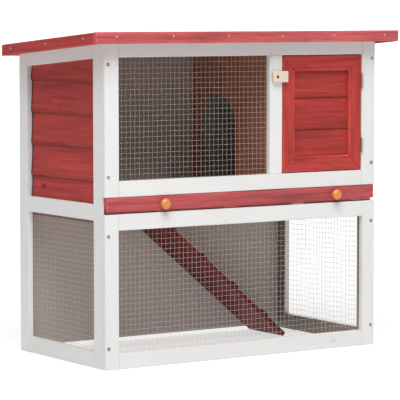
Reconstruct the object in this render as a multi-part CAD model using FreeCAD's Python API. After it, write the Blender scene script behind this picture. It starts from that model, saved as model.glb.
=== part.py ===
"""Two-storey wooden rabbit hutch: a day room and a nest box over a wire-sided run with no floor.

Millimetres. The origin is on the ground under the middle of the roof. +X runs to the right along
the front, +Y runs back and +Z up. In the functions below, a y value is measured from the front
face of the hutch, and block() and the other makers move it into that frame.
"""

import FreeCAD, Part
import math
import os

# Driving dimensions: the whole hutch
ROOF_WIDTH = 900.0
ROOF_DEPTH = 455.0
FULL_HEIGHT = 806.0
ROOF_FALL = 35.0
FRONT_OVERHANG = 38.0
SIDE_OVERHANG = 46.0
BODY_DEPTH = 410.0

# Driving dimensions: timber, board and wire
PANEL = 15.0
TIMBER = 39.0
ARRIS = 0.8
BACK_BOARD = 10.0
PARTITION = 6.0
PITCH = 12.7
WIRE = 0.7
MESH_LAP = 12.0

# Driving dimensions: levels above the ground
LOWER_TOP = 372.0
UPPER_BOTTOM = 413.0
SIDE_MID_RAIL = (355.0, 394.0)
BACK_CLEARANCE = 11.0

# Driving dimensions: window, door and turn button
MULLION = (75.0, 113.0)
DOOR_FACE = 1.0
DOOR_THICKNESS = 13.7
DOOR_GAP = 1.8
DOOR_RIGHT = 360.5
DOOR_MEMBER = 38.5
DOOR_SLAT_EDGES = (558.0, 638.0)
HINGE_LEVELS = (515.0, 678.5)
HINGE_HEIGHT = 36.0
BUTTON_PIVOT = (92.0, 692.5)
BUTTON_SIZE = (46.0, 28.0, 10.0)
BUTTON_TAIL = 13.0
BUTTON_CORNER = 6.0
BUTTON_SCREW = (2.0, 3.6)

# Driving dimensions: butt hinges
HINGE_AXIS = (DOOR_RIGHT + 1.0, -2.8)
LEAF = 0.8
LEAF_DEPTH = (0.3, 12.0)
KNUCKLE_RADIUS = 2.6
PIN_RADIUS = 1.2
HINGE_SCREW = (1.5, 14.0)

# Driving dimensions: slats
SLAT_THICKNESS = 4.5
SLAT_RAKE = 5.2
SLAT_PITCH = 79.0
SLAT_LAP = 8.0
FIRST_SLAT_EDGE = 447.0
SLAT_GAP = 5.0
LIP = 7.0
REBATE = 10.0

# Driving dimensions: roof
FASCIA = (12.0, 28.0)
REAR_FASCIA = 6.0
FASCIA_ARRIS = 1.5
ROOF_FIT = 0.4
DECK = 15.0
FELT = 2.0

# Driving dimensions: tray
TRAY_FLOOR = 5.0
TRAY_WALL = 6.0
TRAY_WALL_HEIGHT = 20.0
TRAY_SIDE_PLAY = 2.0
HATCH = ((-124.0, 26.0), (240.0, 382.0))
TRAY_NOTCH = (15.0, 6.0)
RUNNER_FOOT = 347.0
KNOB_PLACES = (-239.0, 276.0)
KNOB_RADIUS = 13.2

# Driving dimensions: ramp and doorway
RAMP_ANGLE = 39.8
RAMP_FOOT_X = 294.0
RAMP_SIDES = (243.0, 398.0)
RAMP_BOARD = 12.0
CLEAT = (20.0, 6.0)
CLEAT_PITCH = 125.0
FIRST_CLEAT = 75.0
CLEAT_COUNT = 4
BEARER = (-153.0, -131.0)
BEARER_FOOT = 346.0
DOORWAY = (203.0, 365.0)
DOORWAY_TOP = 642.0

# Driving dimensions: fasteners
NAIL_HEAD = (2.6, 0.9)
NAIL_RADIUS = 1.2
NAIL_LENGTH = 35.0
FASCIA_NAIL_PITCH = 159.6
FASCIA_NAIL_MIDDLE = 6.0
SIDE_FASCIA_NAILS = (21.0, 200.0, 371.0)
RAMP_NAIL_LENGTH = 42.0
SCREW_HEAD = (4.2, 1.4)
SCREW_RADIUS = 1.9
PROUD = 0.4
FRONT_SCREW_INSET = 10.0
LEFT_SCREW_LEVELS = (51.0, 320.0, 461.0, 729.0)
RIGHT_SCREW_LEVELS = (51.0, 320.0, 469.0, 735.0)
ROOF_SCREWS = (100.0, 330.0)
STAPLE_WIRE = 0.5
STAPLE_LEG = 9.0
MESH_STAPLE = 3.0
JOINT_STAPLE = 6.0
JOINT_STAPLES = (80.0, 102.0)

# Worked out from the driving dimensions
BODY_WIDTH = ROOF_WIDTH - 2 * SIDE_OVERHANG
LEFT = -BODY_WIDTH / 2
RIGHT = BODY_WIDTH / 2
FRONT = FRONT_OVERHANG - ROOF_DEPTH / 2
ROOF_FRONT = -FRONT_OVERHANG
ROOF_BACK = ROOF_DEPTH - FRONT_OVERHANG
INNER_BACK = BODY_DEPTH - BACK_BOARD
MESH_BACK = PANEL + WIRE
SIDE_FRONT_STILE = (PANEL, PANEL + TIMBER - 1)
SIDE_REAR_STILE = (BODY_DEPTH - TIMBER - 1, BODY_DEPTH)
TRAY_BOTTOM = LOWER_TOP + 1.0
TRAY_LEVEL = TRAY_BOTTOM + TRAY_FLOOR
TRAY_REAR = INNER_BACK - TRAY_WALL
PARTITION_FOOT = TRAY_LEVEL + TRAY_WALL_HEIGHT + 4.0
DOOR_LEFT = MULLION[1] + DOOR_GAP

AXIS_X = FreeCAD.Vector(1, 0, 0)
AXIS_Y = FreeCAD.Vector(0, 1, 0)
AXIS_Z = FreeCAD.Vector(0, 0, 1)


def point(x, y, z):
    """A point whose y is measured from the front face."""
    return FreeCAD.Vector(x, FRONT + y, z)


def roof_top(y):
    """Height of the roof's upper plane at y: it falls evenly to the rear."""
    return FULL_HEIGHT - ROOF_FALL * (y - ROOF_FRONT) / ROOF_DEPTH


def roof_under(y):
    """Height of the deck's underside at y."""
    return roof_top(y) - FELT - DECK


def upper_top():
    """Height of the upper front panel, just under the deck."""
    return roof_under(PANEL) - ROOF_FIT


def soften(shape, arris=ARRIS):
    """The shape with every edge chamfered."""
    return shape.makeChamfer(arris, shape.Edges)


def block(x, y, z, arris=ARRIS):
    """A board with softened edges, from a (low, high) pair along each axis."""
    shape = Part.makeBox(x[1] - x[0], y[1] - y[0], z[1] - z[0], point(x[0], y[0], z[0]))
    return soften(shape, arris) if arris else shape


def polygon(points):
    """A flat face through the points."""
    return Part.Face(Part.makePolygon(points + points[:1]))


def side_prism(outline, x, arris=ARRIS):
    """A board with an outline of (y, z) points, from x[0] to x[1]."""
    face = polygon([point(x[0], y, z) for y, z in outline])
    shape = face.extrude(AXIS_X * (x[1] - x[0]))
    return soften(shape, arris) if arris else shape


def front_prism(outline, y, arris=ARRIS):
    """A board with an outline of (x, z) points, from y[0] to y[1]."""
    face = polygon([point(x, y[0], z) for x, z in outline])
    shape = face.extrude(AXIS_Y * (y[1] - y[0]))
    return soften(shape, arris) if arris else shape


def rod(radius, start, direction, length):
    """A round rod from a start point along a direction."""
    return Part.makeCylinder(radius, length, start, direction)


def mirrored(shape):
    """The same piece on the other side of the hutch."""
    return shape.mirror(FreeCAD.Vector(0, 0, 0), AXIS_X)


def group(shapes):
    """Separate solids that share one node."""
    return Part.makeCompound(list(shapes))


def grid(low, high):
    """The centre lines of the wires that fit between low and high, evenly about the middle."""
    cells = int((high - low - WIRE) // PITCH)
    first = (low + high - cells * PITCH) / 2
    return [first + index * PITCH for index in range(cells + 1)]


def wire_mesh(across, up, place):
    """Welded square mesh as one flat sheet; place(a, b) maps sheet coordinates to the hutch."""
    columns = grid(*across)
    rows = grid(*up)
    half = WIRE / 2

    def loop(a_low, a_high, b_low, b_high):
        corners = ((a_low, b_low), (a_high, b_low), (a_high, b_high), (a_low, b_high))
        points = [place(a, b) for a, b in corners]
        return Part.makePolygon(points + points[:1])

    wires = [loop(columns[0] - half, columns[-1] + half, rows[0] - half, rows[-1] + half)]
    for a_low, a_high in zip(columns, columns[1:]):
        for b_low, b_high in zip(rows, rows[1:]):
            hole = loop(a_low + half, a_high - half, b_low + half, b_high - half)
            hole.reverse()
            wires.append(hole)
    return Part.Face(wires)


def front_mesh(x, z):
    """Mesh stapled to the back of a front frame around the opening x by z."""
    across = (x[0] - MESH_LAP, x[1] + MESH_LAP)
    up = (z[0] - MESH_LAP, z[1] + MESH_LAP)
    sheet = wire_mesh(across, up, lambda a, b: point(a, PANEL, b))
    return sheet.extrude(AXIS_Y * WIRE)


def side_mesh():
    """Mesh stapled inside the lower part of the left side frame."""
    across = (SIDE_FRONT_STILE[1] - MESH_LAP, SIDE_REAR_STILE[0] + MESH_LAP)
    up = (TIMBER + 1 - MESH_LAP, SIDE_MID_RAIL[0] + MESH_LAP)
    sheet = wire_mesh(across, up, lambda a, b: point(LEFT + PANEL, a, b))
    return sheet.extrude(AXIS_X * WIRE)


def slat_profile(low, high, thickness, face, rake):
    """Section of a lapped slat as (depth, z) points: its lower edge stands proud."""
    lean = rake * (high - low) / SLAT_PITCH
    return ((face, low), (face + lean, high), (face + lean + thickness, high), (face + thickness, low))


# Front panels


def lower_front():
    """Frame of the run's front."""
    depth = (0.0, PANEL)
    rail_x = (LEFT + TIMBER, RIGHT - TIMBER + 2)
    return {
        "front_lower_left_stile": block((LEFT, rail_x[0]), depth, (0.0, LOWER_TOP)),
        "front_lower_right_stile": block((rail_x[1], RIGHT), depth, (0.0, LOWER_TOP)),
        "front_lower_top_rail": block(rail_x, depth, (LOWER_TOP - TIMBER, LOWER_TOP)),
        "front_lower_bottom_rail": block(rail_x, depth, (0.0, TIMBER - 0.5)),
        "front_lower_mesh": front_mesh(rail_x, (TIMBER - 0.5, LOWER_TOP - TIMBER)),
    }


def upper_front():
    """Frame of the window and the door."""
    depth = (0.0, PANEL)
    top = upper_top()
    rail_x = (LEFT + TIMBER + 1, DOOR_RIGHT + 2.0)
    opening = (UPPER_BOTTOM + TIMBER - 1, top - TIMBER)
    return {
        "front_upper_left_stile": block((LEFT, rail_x[0]), depth, (UPPER_BOTTOM, top)),
        "front_upper_right_stile": block((rail_x[1], RIGHT), depth, (UPPER_BOTTOM, top)),
        "front_upper_top_rail": block(rail_x, depth, (opening[1], top)),
        "front_upper_bottom_rail": block(rail_x, depth, (UPPER_BOTTOM, opening[0])),
        "front_mullion": block(MULLION, depth, opening),
        "window_mesh": front_mesh((rail_x[0], MULLION[0]), opening),
    }


# Side panels


def slat_field(margin, rear):
    """Outline of the side slats, as far back as rear: the opening plus its rebate, less a margin."""
    y_low = SIDE_FRONT_STILE[1] - REBATE + margin
    y_high = rear
    z_low = SIDE_MID_RAIL[1] - REBATE + margin
    top = -TIMBER + REBATE - margin
    return (
        (y_low, z_low),
        (y_high, z_low),
        (y_high, roof_under(y_high) + top),
        (y_low, roof_under(y_low) + top),
    )


def side_slats():
    """Five lapped slats in the upper part of the left side, each over the one below.

    They stop short of the rear stile by an open gap.
    """
    x = (LEFT, LEFT + 3 * PANEL)
    field = side_prism(slat_field(0.5, SIDE_REAR_STILE[0] - SLAT_GAP), x, 0)
    edges = [SIDE_MID_RAIL[1] - REBATE] + [FIRST_SLAT_EDGE + index * SLAT_PITCH for index in range(4)]
    edges.append(roof_under(0) - TIMBER)
    slats = []
    for low, high in zip(edges, edges[1:]):
        section = slat_profile(low, high + SLAT_LAP, SLAT_THICKNESS, LIP + 1, SLAT_RAKE)
        face = polygon([point(LEFT + depth, SIDE_FRONT_STILE[0], z) for depth, z in section])
        slat = face.extrude(AXIS_Y * (SIDE_REAR_STILE[1] - SIDE_FRONT_STILE[0]))
        slats.append(slat.common(field).Solids[0])
    return group(slats)


def side_panel():
    """Frame, slats and mesh of the left side, by name."""
    x = (LEFT, LEFT + PANEL)
    front, rear = SIDE_FRONT_STILE, SIDE_REAR_STILE
    between = (front[1], rear[0])

    def upright(y):
        top = ((y[1], roof_under(y[1])), (y[0], roof_under(y[0])))
        return side_prism(((y[0], 0.0), (y[1], 0.0)) + top, x)

    high, low = (roof_under(y) for y in between)
    lower_edge = ((between[0], high - TIMBER), (between[1], low - TIMBER))
    upper_edge = ((between[1], low), (between[0], high))
    members = {
        "front_stile": upright(front),
        "rear_stile": upright(rear),
        "top_rail": side_prism(lower_edge + upper_edge, x),
        "mid_rail": block(x, between, SIDE_MID_RAIL),
    }
    rebate = side_prism(slat_field(0.0, rear[0]), (LEFT + LIP, LEFT + PANEL + 1), 0)
    pieces = {name: member.cut(rebate) for name, member in members.items()}
    pieces["bottom_rail"] = block(x, between, (0.0, TIMBER + 1))
    pieces["slats"] = side_slats()
    pieces["mesh"] = side_mesh()
    return pieces


def sides():
    """Both side panels; the right one mirrors the left."""
    nodes = {}
    for name, shape in side_panel().items():
        nodes["left_" + name] = shape
        nodes["right_" + name] = mirrored(shape)
    return nodes


# Back, partition and battens


def back_board():
    """Board across the back, between the side panels and clear of the ground."""
    y = (INNER_BACK, BODY_DEPTH)
    foot = ((y[0], BACK_CLEARANCE), (y[1], BACK_CLEARANCE))
    outline = foot + ((y[1], roof_under(y[1])), (y[0], roof_under(y[0])))
    return side_prism(outline, (LEFT + PANEL, RIGHT - PANEL), 0.5)


def partition_x():
    """The two faces of the partition, behind the mullion's right edge."""
    return MULLION[1] - 3.0, MULLION[1] - 3.0 + PARTITION


def partition():
    """Board between day room and nest box, with an arched doorway down to the tray."""
    x = partition_x()
    outline = (
        (PANEL, PARTITION_FOOT),
        (INNER_BACK, PARTITION_FOOT),
        (INNER_BACK, roof_under(INNER_BACK)),
        (PANEL, roof_under(PANEL)),
    )
    board = side_prism(outline, x, 0)
    radius = (DOORWAY[1] - DOORWAY[0]) / 2
    spring = DOORWAY_TOP - radius
    middle = (DOORWAY[0] + DOORWAY[1]) / 2
    through = (x[0] - 1, x[1] + 1)
    opening = block(through, DOORWAY, (PARTITION_FOOT - 1, spring), 0)
    arch = rod(radius, point(through[0], middle, spring), AXIS_X, through[1] - through[0])
    return board.cut(opening.fuse(arch))


def partition_battens():
    """Battens in the nest box that hold the partition; the front one also stops the door."""
    low = partition_x()[1]
    x = (low, low + PANEL)
    front = block(x, (PANEL, 2 * PANEL), (PARTITION_FOOT, roof_under(2 * PANEL)))
    rear = block(x, (INNER_BACK - PANEL, INNER_BACK), (PARTITION_FOOT, roof_under(INNER_BACK)))
    return group((front, rear))


def tray_runners():
    """Two battens inside the side frames that the tray slides on."""
    x = (LEFT + PANEL + WIRE + 0.5, LEFT + 2 * PANEL + WIRE + 0.5)
    runner = block(x, (MESH_BACK + 1, INNER_BACK), (RUNNER_FOOT, TRAY_BOTTOM - 0.5))
    return group((runner, mirrored(runner)))


# Roof


def roof():
    """Deck, felt and fascias."""
    thick, tall = FASCIA
    half = ROOF_WIDTH / 2
    y = (ROOF_FRONT + thick, ROOF_BACK - REAR_FASCIA)

    def sloped(upper, lower):
        return (
            (y[0], roof_top(y[0]) - lower),
            (y[1], roof_top(y[1]) - lower),
            (y[1], roof_top(y[1]) - upper),
            (y[0], roof_top(y[0]) - upper),
        )

    inside = (thick - half, half - thick)
    side = side_prism(sloped(0.0, tall), (-half, inside[0]))
    front_z = (FULL_HEIGHT - tall, FULL_HEIGHT)
    rear_z = (roof_top(ROOF_BACK) - tall, roof_top(ROOF_BACK))
    return {
        "roof_deck": side_prism(sloped(FELT, FELT + DECK), inside, 0),
        "roof_felt": side_prism(sloped(0.5, FELT), inside, 0),
        "roof_front_fascia": block((-half, half), (ROOF_FRONT, y[0]), front_z, FASCIA_ARRIS),
        "roof_rear_fascia": block((-half, half), (y[1], ROOF_BACK), rear_z),
        "roof_left_fascia": side,
        "roof_right_fascia": mirrored(side),
    }


def nail(start, direction, length=NAIL_LENGTH):
    """A flat-headed wire nail whose head stands proud of the start point."""
    head = rod(NAIL_HEAD[0], start - direction * PROUD, direction, NAIL_HEAD[1])
    return head.fuse(rod(NAIL_RADIUS, start, direction, length)).removeSplitter()


def wire_nails():
    """Nails through the fascias into the deck, and through the bearer into the ramp."""
    nails = []
    half = ROOF_WIDTH / 2
    deck_middle = FELT + DECK / 2
    for index in range(6):
        x = FASCIA_NAIL_MIDDLE + FASCIA_NAIL_PITCH * (index - 2.5)
        nails.append(nail(point(x, ROOF_FRONT, roof_top(ROOF_FRONT) - deck_middle - 2), AXIS_Y))
        nails.append(nail(point(x, ROOF_BACK, roof_top(ROOF_BACK) - deck_middle), -AXIS_Y))
    for y in SIDE_FASCIA_NAILS:
        nails.append(nail(point(-half, y, roof_top(y) - deck_middle - 2), AXIS_X))
        nails.append(nail(point(half, y, roof_top(y) - deck_middle - 2), -AXIS_X))
    slant = math.radians(20.0)
    down = FreeCAD.Vector(math.cos(slant), 0, -math.sin(slant))
    middle = sum(RAMP_SIDES) / 2
    for inset in (35.0, -35.0):
        nails.append(nail(point(BEARER[0], middle + inset, TRAY_BOTTOM - 7), down, RAMP_NAIL_LENGTH))
    return group(nails)


def wood_screw(start, direction, length):
    """A countersunk wood screw whose head stands proud of the start point."""
    head = rod(SCREW_HEAD[0], start - direction * PROUD, direction, SCREW_HEAD[1])
    return head.fuse(rod(SCREW_RADIUS, start, direction, length)).removeSplitter()


def wood_screws():
    """Screws that join the front panels to the sides, and the roof to the side top rails."""
    screws = []
    for z in LEFT_SCREW_LEVELS:
        screws.append(wood_screw(point(LEFT + FRONT_SCREW_INSET, 0, z), AXIS_Y, 40.0))
    for z in RIGHT_SCREW_LEVELS:
        screws.append(wood_screw(point(RIGHT - FRONT_SCREW_INSET, 0, z), AXIS_Y, 40.0))
    for x in (LEFT + PANEL / 2, RIGHT - PANEL / 2):
        for y in ROOF_SCREWS:
            screws.append(wood_screw(point(x, y, roof_top(y) - 0.5), -AXIS_Z, 45.0))
    return group(screws)


def staple(foot, along, inward, half, stand):
    """A staple with its crown along one direction, standing off the timber, and legs into it."""
    lift = foot - inward * stand
    crown = rod(STAPLE_WIRE, lift - along * half, along, 2 * half)
    legs = [rod(STAPLE_WIRE, lift + along * side, inward, STAPLE_LEG) for side in (-half, half)]
    return crown.fuse(legs).removeSplitter()


def mesh_row(across, place, along, inward):
    """Staples over every sixth wire of a mesh edge; place(a) is the point on the timber at wire a."""
    return [staple(place(a), along, inward, MESH_STAPLE, 2 * WIRE) for a in grid(*across)[3:-2:6]]


def all_staples():
    """Staples in the front meshes' long edges, the side meshes' feet and the mullion's top joint."""
    lower_x = (LEFT + TIMBER - MESH_LAP, RIGHT - TIMBER + 2 + MESH_LAP)
    upper_x = (LEFT + TIMBER + 1 - MESH_LAP, MULLION[0] + MESH_LAP)
    opening_top = upper_top() - TIMBER
    front_rows = (
        (lower_x, TIMBER - 0.5 - MESH_LAP / 2),
        (lower_x, LOWER_TOP - TIMBER + MESH_LAP / 2),
        (upper_x, UPPER_BOTTOM + TIMBER - 1 - MESH_LAP / 2),
        (upper_x, opening_top + MESH_LAP / 2),
    )
    staples = []
    for across, level in front_rows:
        staples += mesh_row(across, lambda a: point(a, PANEL, level), AXIS_X, -AXIS_Y)
    side_y = (SIDE_FRONT_STILE[1] - MESH_LAP, SIDE_REAR_STILE[0] + MESH_LAP)
    foot = TIMBER + 1 - MESH_LAP / 2
    for x, inward in ((LEFT + PANEL, -AXIS_X), (RIGHT - PANEL, AXIS_X)):
        staples += mesh_row(side_y, lambda a: point(x, a, foot), AXIS_Y, inward)
    for x in JOINT_STAPLES:
        staples.append(staple(point(x, 0, opening_top), AXIS_Z, AXIS_Y, JOINT_STAPLE, 0.2))
    return group(staples)


# Door


def door():
    """Mitred frame and lapped slats of the nest box door."""
    y = (DOOR_FACE, DOOR_FACE + DOOR_THICKNESS)
    left, right = DOOR_LEFT, DOOR_RIGHT
    low = UPPER_BOTTOM + TIMBER - 1 + DOOR_GAP
    high = upper_top() - TIMBER - DOOR_GAP
    width = DOOR_MEMBER
    inner = ((left + width, low + width), (right - width, high - width))
    corners = {
        "outer": ((left, low), (right, low), (right, high), (left, high)),
        "inner": (inner[0], (inner[1][0], inner[0][1]), inner[1], (inner[0][0], inner[1][1])),
    }
    reach = ((inner[0][0] - REBATE, inner[1][0] + REBATE), (inner[0][1] - REBATE, inner[1][1] + REBATE))
    rebate = block(reach[0], (LIP, y[1] + 1), reach[1], 0)
    nodes = {}
    for index, name in enumerate(("bottom_rail", "right_stile", "top_rail", "left_stile")):
        after = (index + 1) % 4
        outline = (
            corners["outer"][index],
            corners["outer"][after],
            corners["inner"][after],
            corners["inner"][index],
        )
        nodes["door_" + name] = front_prism(outline, y).cut(rebate)
    nodes["door_slats"] = door_slats(reach, y[1])
    return nodes


def door_slats(reach, back):
    """Three lapped slats that fill the door's rebate, 0.5 mm clear of its edges."""
    x = (reach[0][0] + 0.5, reach[0][1] - 0.5)
    edges = (reach[1][0] + 0.5,) + DOOR_SLAT_EDGES + (reach[1][1] - 0.5 - SLAT_LAP,)
    inside = block(x, (LIP, back), (edges[0], reach[1][1] - 0.5), 0)
    slats = []
    for low, high in zip(edges, edges[1:]):
        section = slat_profile(low, high + SLAT_LAP, 3.0, LIP + 0.4, 3.6)
        face = polygon([point(x[0], depth, z) for depth, z in section])
        slats.append(face.extrude(AXIS_X * (x[1] - x[0])).common(inside).Solids[0])
    return group(slats)


# Hinges


def hinge_leaf(middle, x, knuckles):
    """One leaf of a butt hinge: a plate between door and stile, with the knuckles it carries."""
    z = (middle - HINGE_HEIGHT / 2, middle + HINGE_HEIGHT / 2)
    leaf = block(x, LEAF_DEPTH, z, 0)
    for low, high in knuckles:
        start = point(HINGE_AXIS[0], HINGE_AXIS[1], middle + low)
        barrel = rod(KNUCKLE_RADIUS, start, AXIS_Z, high - low)
        tab = block(x, (HINGE_AXIS[1], 0.4), (middle + low, middle + high), 0)
        bore = rod(PIN_RADIUS + 0.05, start, AXIS_Z, high - low)
        leaf = leaf.fuse((barrel, tab)).cut(bore)
    return leaf.removeSplitter()


def hinge_fasteners(x, direction):
    """Four flush screws through two leaves, into the timber beside them."""
    screws = []
    for middle in HINGE_LEVELS:
        for z in (middle - 10.0, middle + 10.0):
            screws.append(rod(HINGE_SCREW[0], point(x, 7.5, z), direction, HINGE_SCREW[1]))
    return group(screws)


def hinges():
    """Leaves, pins and screws of the two butt hinges."""
    axis_x = HINGE_AXIS[0]
    door_leaf = (axis_x - 1.0, axis_x - 1.0 + LEAF)
    frame_leaf = (axis_x + 1.0 - LEAF, axis_x + 1.0)
    end = HINGE_HEIGHT / 2
    inner = HINGE_HEIGHT / 6
    outer_pair = ((-end, -inner - 0.15), (inner + 0.15, end))
    middle_one = ((-inner + 0.15, inner - 0.15),)
    pins = []
    for z in HINGE_LEVELS:
        pins.append(rod(PIN_RADIUS, point(axis_x, HINGE_AXIS[1], z - end - 0.5), AXIS_Z, 2 * end + 1))
    return {
        "hinge_frame_leaves": group(hinge_leaf(z, frame_leaf, outer_pair) for z in HINGE_LEVELS),
        "hinge_door_leaves": group(hinge_leaf(z, door_leaf, middle_one) for z in HINGE_LEVELS),
        "hinge_pins": group(pins),
        "hinge_frame_screws": hinge_fasteners(frame_leaf[0], AXIS_X),
        "hinge_door_screws": hinge_fasteners(door_leaf[1], -AXIS_X),
    }


# Turn button


def turn_button():
    """Wooden block with a rounded tail, and the screw it turns on."""
    length, height, thick = BUTTON_SIZE
    x, z = BUTTON_PIVOT
    y = (-0.5 - thick, -0.5)
    body = block((x - BUTTON_TAIL, x - BUTTON_TAIL + length), y, (z - height / 2, z + height / 2), 0)
    across = [edge for edge in body.Edges if edge.BoundBox.YLength > 1]
    tail = [edge for edge in across if edge.BoundBox.XMax < x - BUTTON_TAIL + 1]
    body = body.makeFillet(BUTTON_CORNER, tail)
    rim = [edge for edge in body.Edges if edge.BoundBox.YLength < 0.01]
    body = body.makeChamfer(ARRIS, rim)
    bore = rod(BUTTON_SCREW[0] + 0.05, point(x, y[0] - 1, z), AXIS_Y, thick + 2)
    shank = rod(BUTTON_SCREW[0], point(x, y[0] - 0.6, z), AXIS_Y, thick + 12.0)
    head = rod(BUTTON_SCREW[1], point(x, y[0] - 2.2, z), AXIS_Y, 1.8)
    return {
        "turn_button": body.cut(bore),
        "turn_button_screw": shank.fuse(head).removeSplitter(),
    }


# Tray


def tray():
    """Pull-out tray: front board, floor with the hatch over the ramp, low walls and curb."""
    half = BODY_WIDTH / 2 - PANEL - TRAY_SIDE_PLAY
    wall = (TRAY_LEVEL, TRAY_LEVEL + TRAY_WALL_HEIGHT)
    hatch_x, hatch_y = HATCH
    floor = block((-half, half), (PANEL, INNER_BACK - TRAY_WALL), (TRAY_BOTTOM, TRAY_LEVEL), 0)
    hatch = block(hatch_x, hatch_y, (TRAY_BOTTOM - 1, TRAY_LEVEL + 1), 0)
    front = block((LEFT + 6, RIGHT - 2), (0.5, PANEL), (TRAY_BOTTOM, UPPER_BOTTOM - 1), 1.2)
    notch_z = (TRAY_BOTTOM - 1, TRAY_BOTTOM + TRAY_NOTCH[1])
    notch = block((RIGHT - TRAY_NOTCH[0], RIGHT), (0, PANEL + 1), notch_z, 0)
    rear_y = (TRAY_REAR - TRAY_WALL, TRAY_REAR)
    side = block((-half, TRAY_WALL - half), (PANEL, rear_y[0]), wall, 0.5)
    curb_left = block((hatch_x[0] - TRAY_WALL, hatch_x[0]), (hatch_y[0], rear_y[0]), wall, 0.5)
    curb_right = block((hatch_x[1], hatch_x[1] + TRAY_WALL), (hatch_y[0], rear_y[0]), wall, 0.5)
    curb_x = (hatch_x[0] - TRAY_WALL, hatch_x[1] + TRAY_WALL)
    curb_front = block(curb_x, (hatch_y[0] - TRAY_WALL, hatch_y[0]), wall, 0.5)
    return {
        "tray_floor": floor.cut(hatch),
        "tray_front": front.cut(notch),
        "tray_sides": group((side, mirrored(side))),
        "tray_rear": block((-half, half), rear_y, wall, 0.5),
        "tray_hatch_curb": group((curb_left, curb_right, curb_front)),
    }


def knob(x, z):
    """Turned wooden pull: a waisted stem under a domed head, revolved about its own axis."""
    face = 0.5

    def at(radius, height):
        return point(x + radius, face - height, z)

    path = (
        Part.makeLine(at(0, 0), at(8.0, 0)),
        Part.Arc(at(8.0, 0), at(6.6, 3.7), at(8.0, 7.5)).toShape(),
        Part.Arc(at(8.0, 7.5), at(11.7, 9.1), at(KNOB_RADIUS, 12.5)).toShape(),
        Part.Arc(at(KNOB_RADIUS, 12.5), at(9.2, 18.6), at(1.5, 21.0)).toShape(),
        Part.makeLine(at(1.5, 21.0), at(0, 21.0)),
        Part.makeLine(at(0, 21.0), at(0, 0)),
    )
    profile = Part.Face(Part.Wire(path))
    return profile.revolve(point(x, 0, z), AXIS_Y, 360)


def tray_knobs():
    """Two pulls on the tray front and the screws that hold them from behind."""
    z = (TRAY_BOTTOM + UPPER_BOTTOM) / 2 - 0.5
    knobs = [knob(x, z) for x in KNOB_PLACES]
    screws = []
    for x in KNOB_PLACES:
        head = rod(4.0, point(x, PANEL + 1.6, z), -AXIS_Y, 1.6)
        shank = rod(1.8, point(x, PANEL + 0.5, z), -AXIS_Y, 26.0)
        screws.append(head.fuse(shank).removeSplitter())
    return {"tray_knobs": group(knobs), "tray_knob_screws": group(screws)}


# Ramp


def on_slope(shape):
    """Tip a piece modelled level, with the ramp's foot at the origin, onto the ramp's slope."""
    shape.rotate(FreeCAD.Vector(0, 0, 0), AXIS_Y, RAMP_ANGLE)
    shape.translate(FreeCAD.Vector(RAMP_FOOT_X, FRONT, 0.3))
    return shape


def ramp():
    """Plank from the ground to the bearer under the tray, with cleats across it."""
    reach = (RAMP_FOOT_X - BEARER[1]) / math.cos(math.radians(RAMP_ANGLE))
    y_low, y_high = RAMP_SIDES
    plank = Part.makeBox(reach + 20, y_high - y_low, RAMP_BOARD, FreeCAD.Vector(-reach - 20, y_low, 0))
    plank = on_slope(soften(plank))
    beyond = block((BEARER[0] - 60, BEARER[1]), (y_low - 5, y_high + 5), (200.0, FULL_HEIGHT), 0)
    cleats = []
    for index in range(CLEAT_COUNT):
        corner = FreeCAD.Vector(-FIRST_CLEAT - CLEAT_PITCH * index - CLEAT[0], y_low, RAMP_BOARD)
        cleats.append(on_slope(soften(Part.makeBox(CLEAT[0], y_high - y_low, CLEAT[1], corner))))
    bearer = block(BEARER, (PANEL, INNER_BACK), (BEARER_FOOT, TRAY_BOTTOM - 2))
    return {
        "ramp_board": plank.cut(beyond),
        "ramp_cleats": group(cleats),
        "ramp_bearer": bearer,
    }


def all_nodes():
    """Every node of the hutch by name."""
    nodes = {}
    for maker in (lower_front, upper_front, sides, roof, door, hinges, turn_button, tray, tray_knobs, ramp):
        nodes.update(maker())
    nodes["back_board"] = back_board()
    nodes["partition"] = partition()
    nodes["partition_battens"] = partition_battens()
    nodes["tray_runners"] = tray_runners()
    nodes["wire_nails"] = wire_nails()
    nodes["wood_screws"] = wood_screws()
    nodes["staples"] = all_staples()
    return nodes


os.makedirs("parts", exist_ok=True)
for node, shape in all_nodes().items():
    shape.exportStep("parts/" + node + ".step")
    print(node, len(shape.Solids), "solids,", round(shape.Volume / 1000, 1), "cm3")
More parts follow.
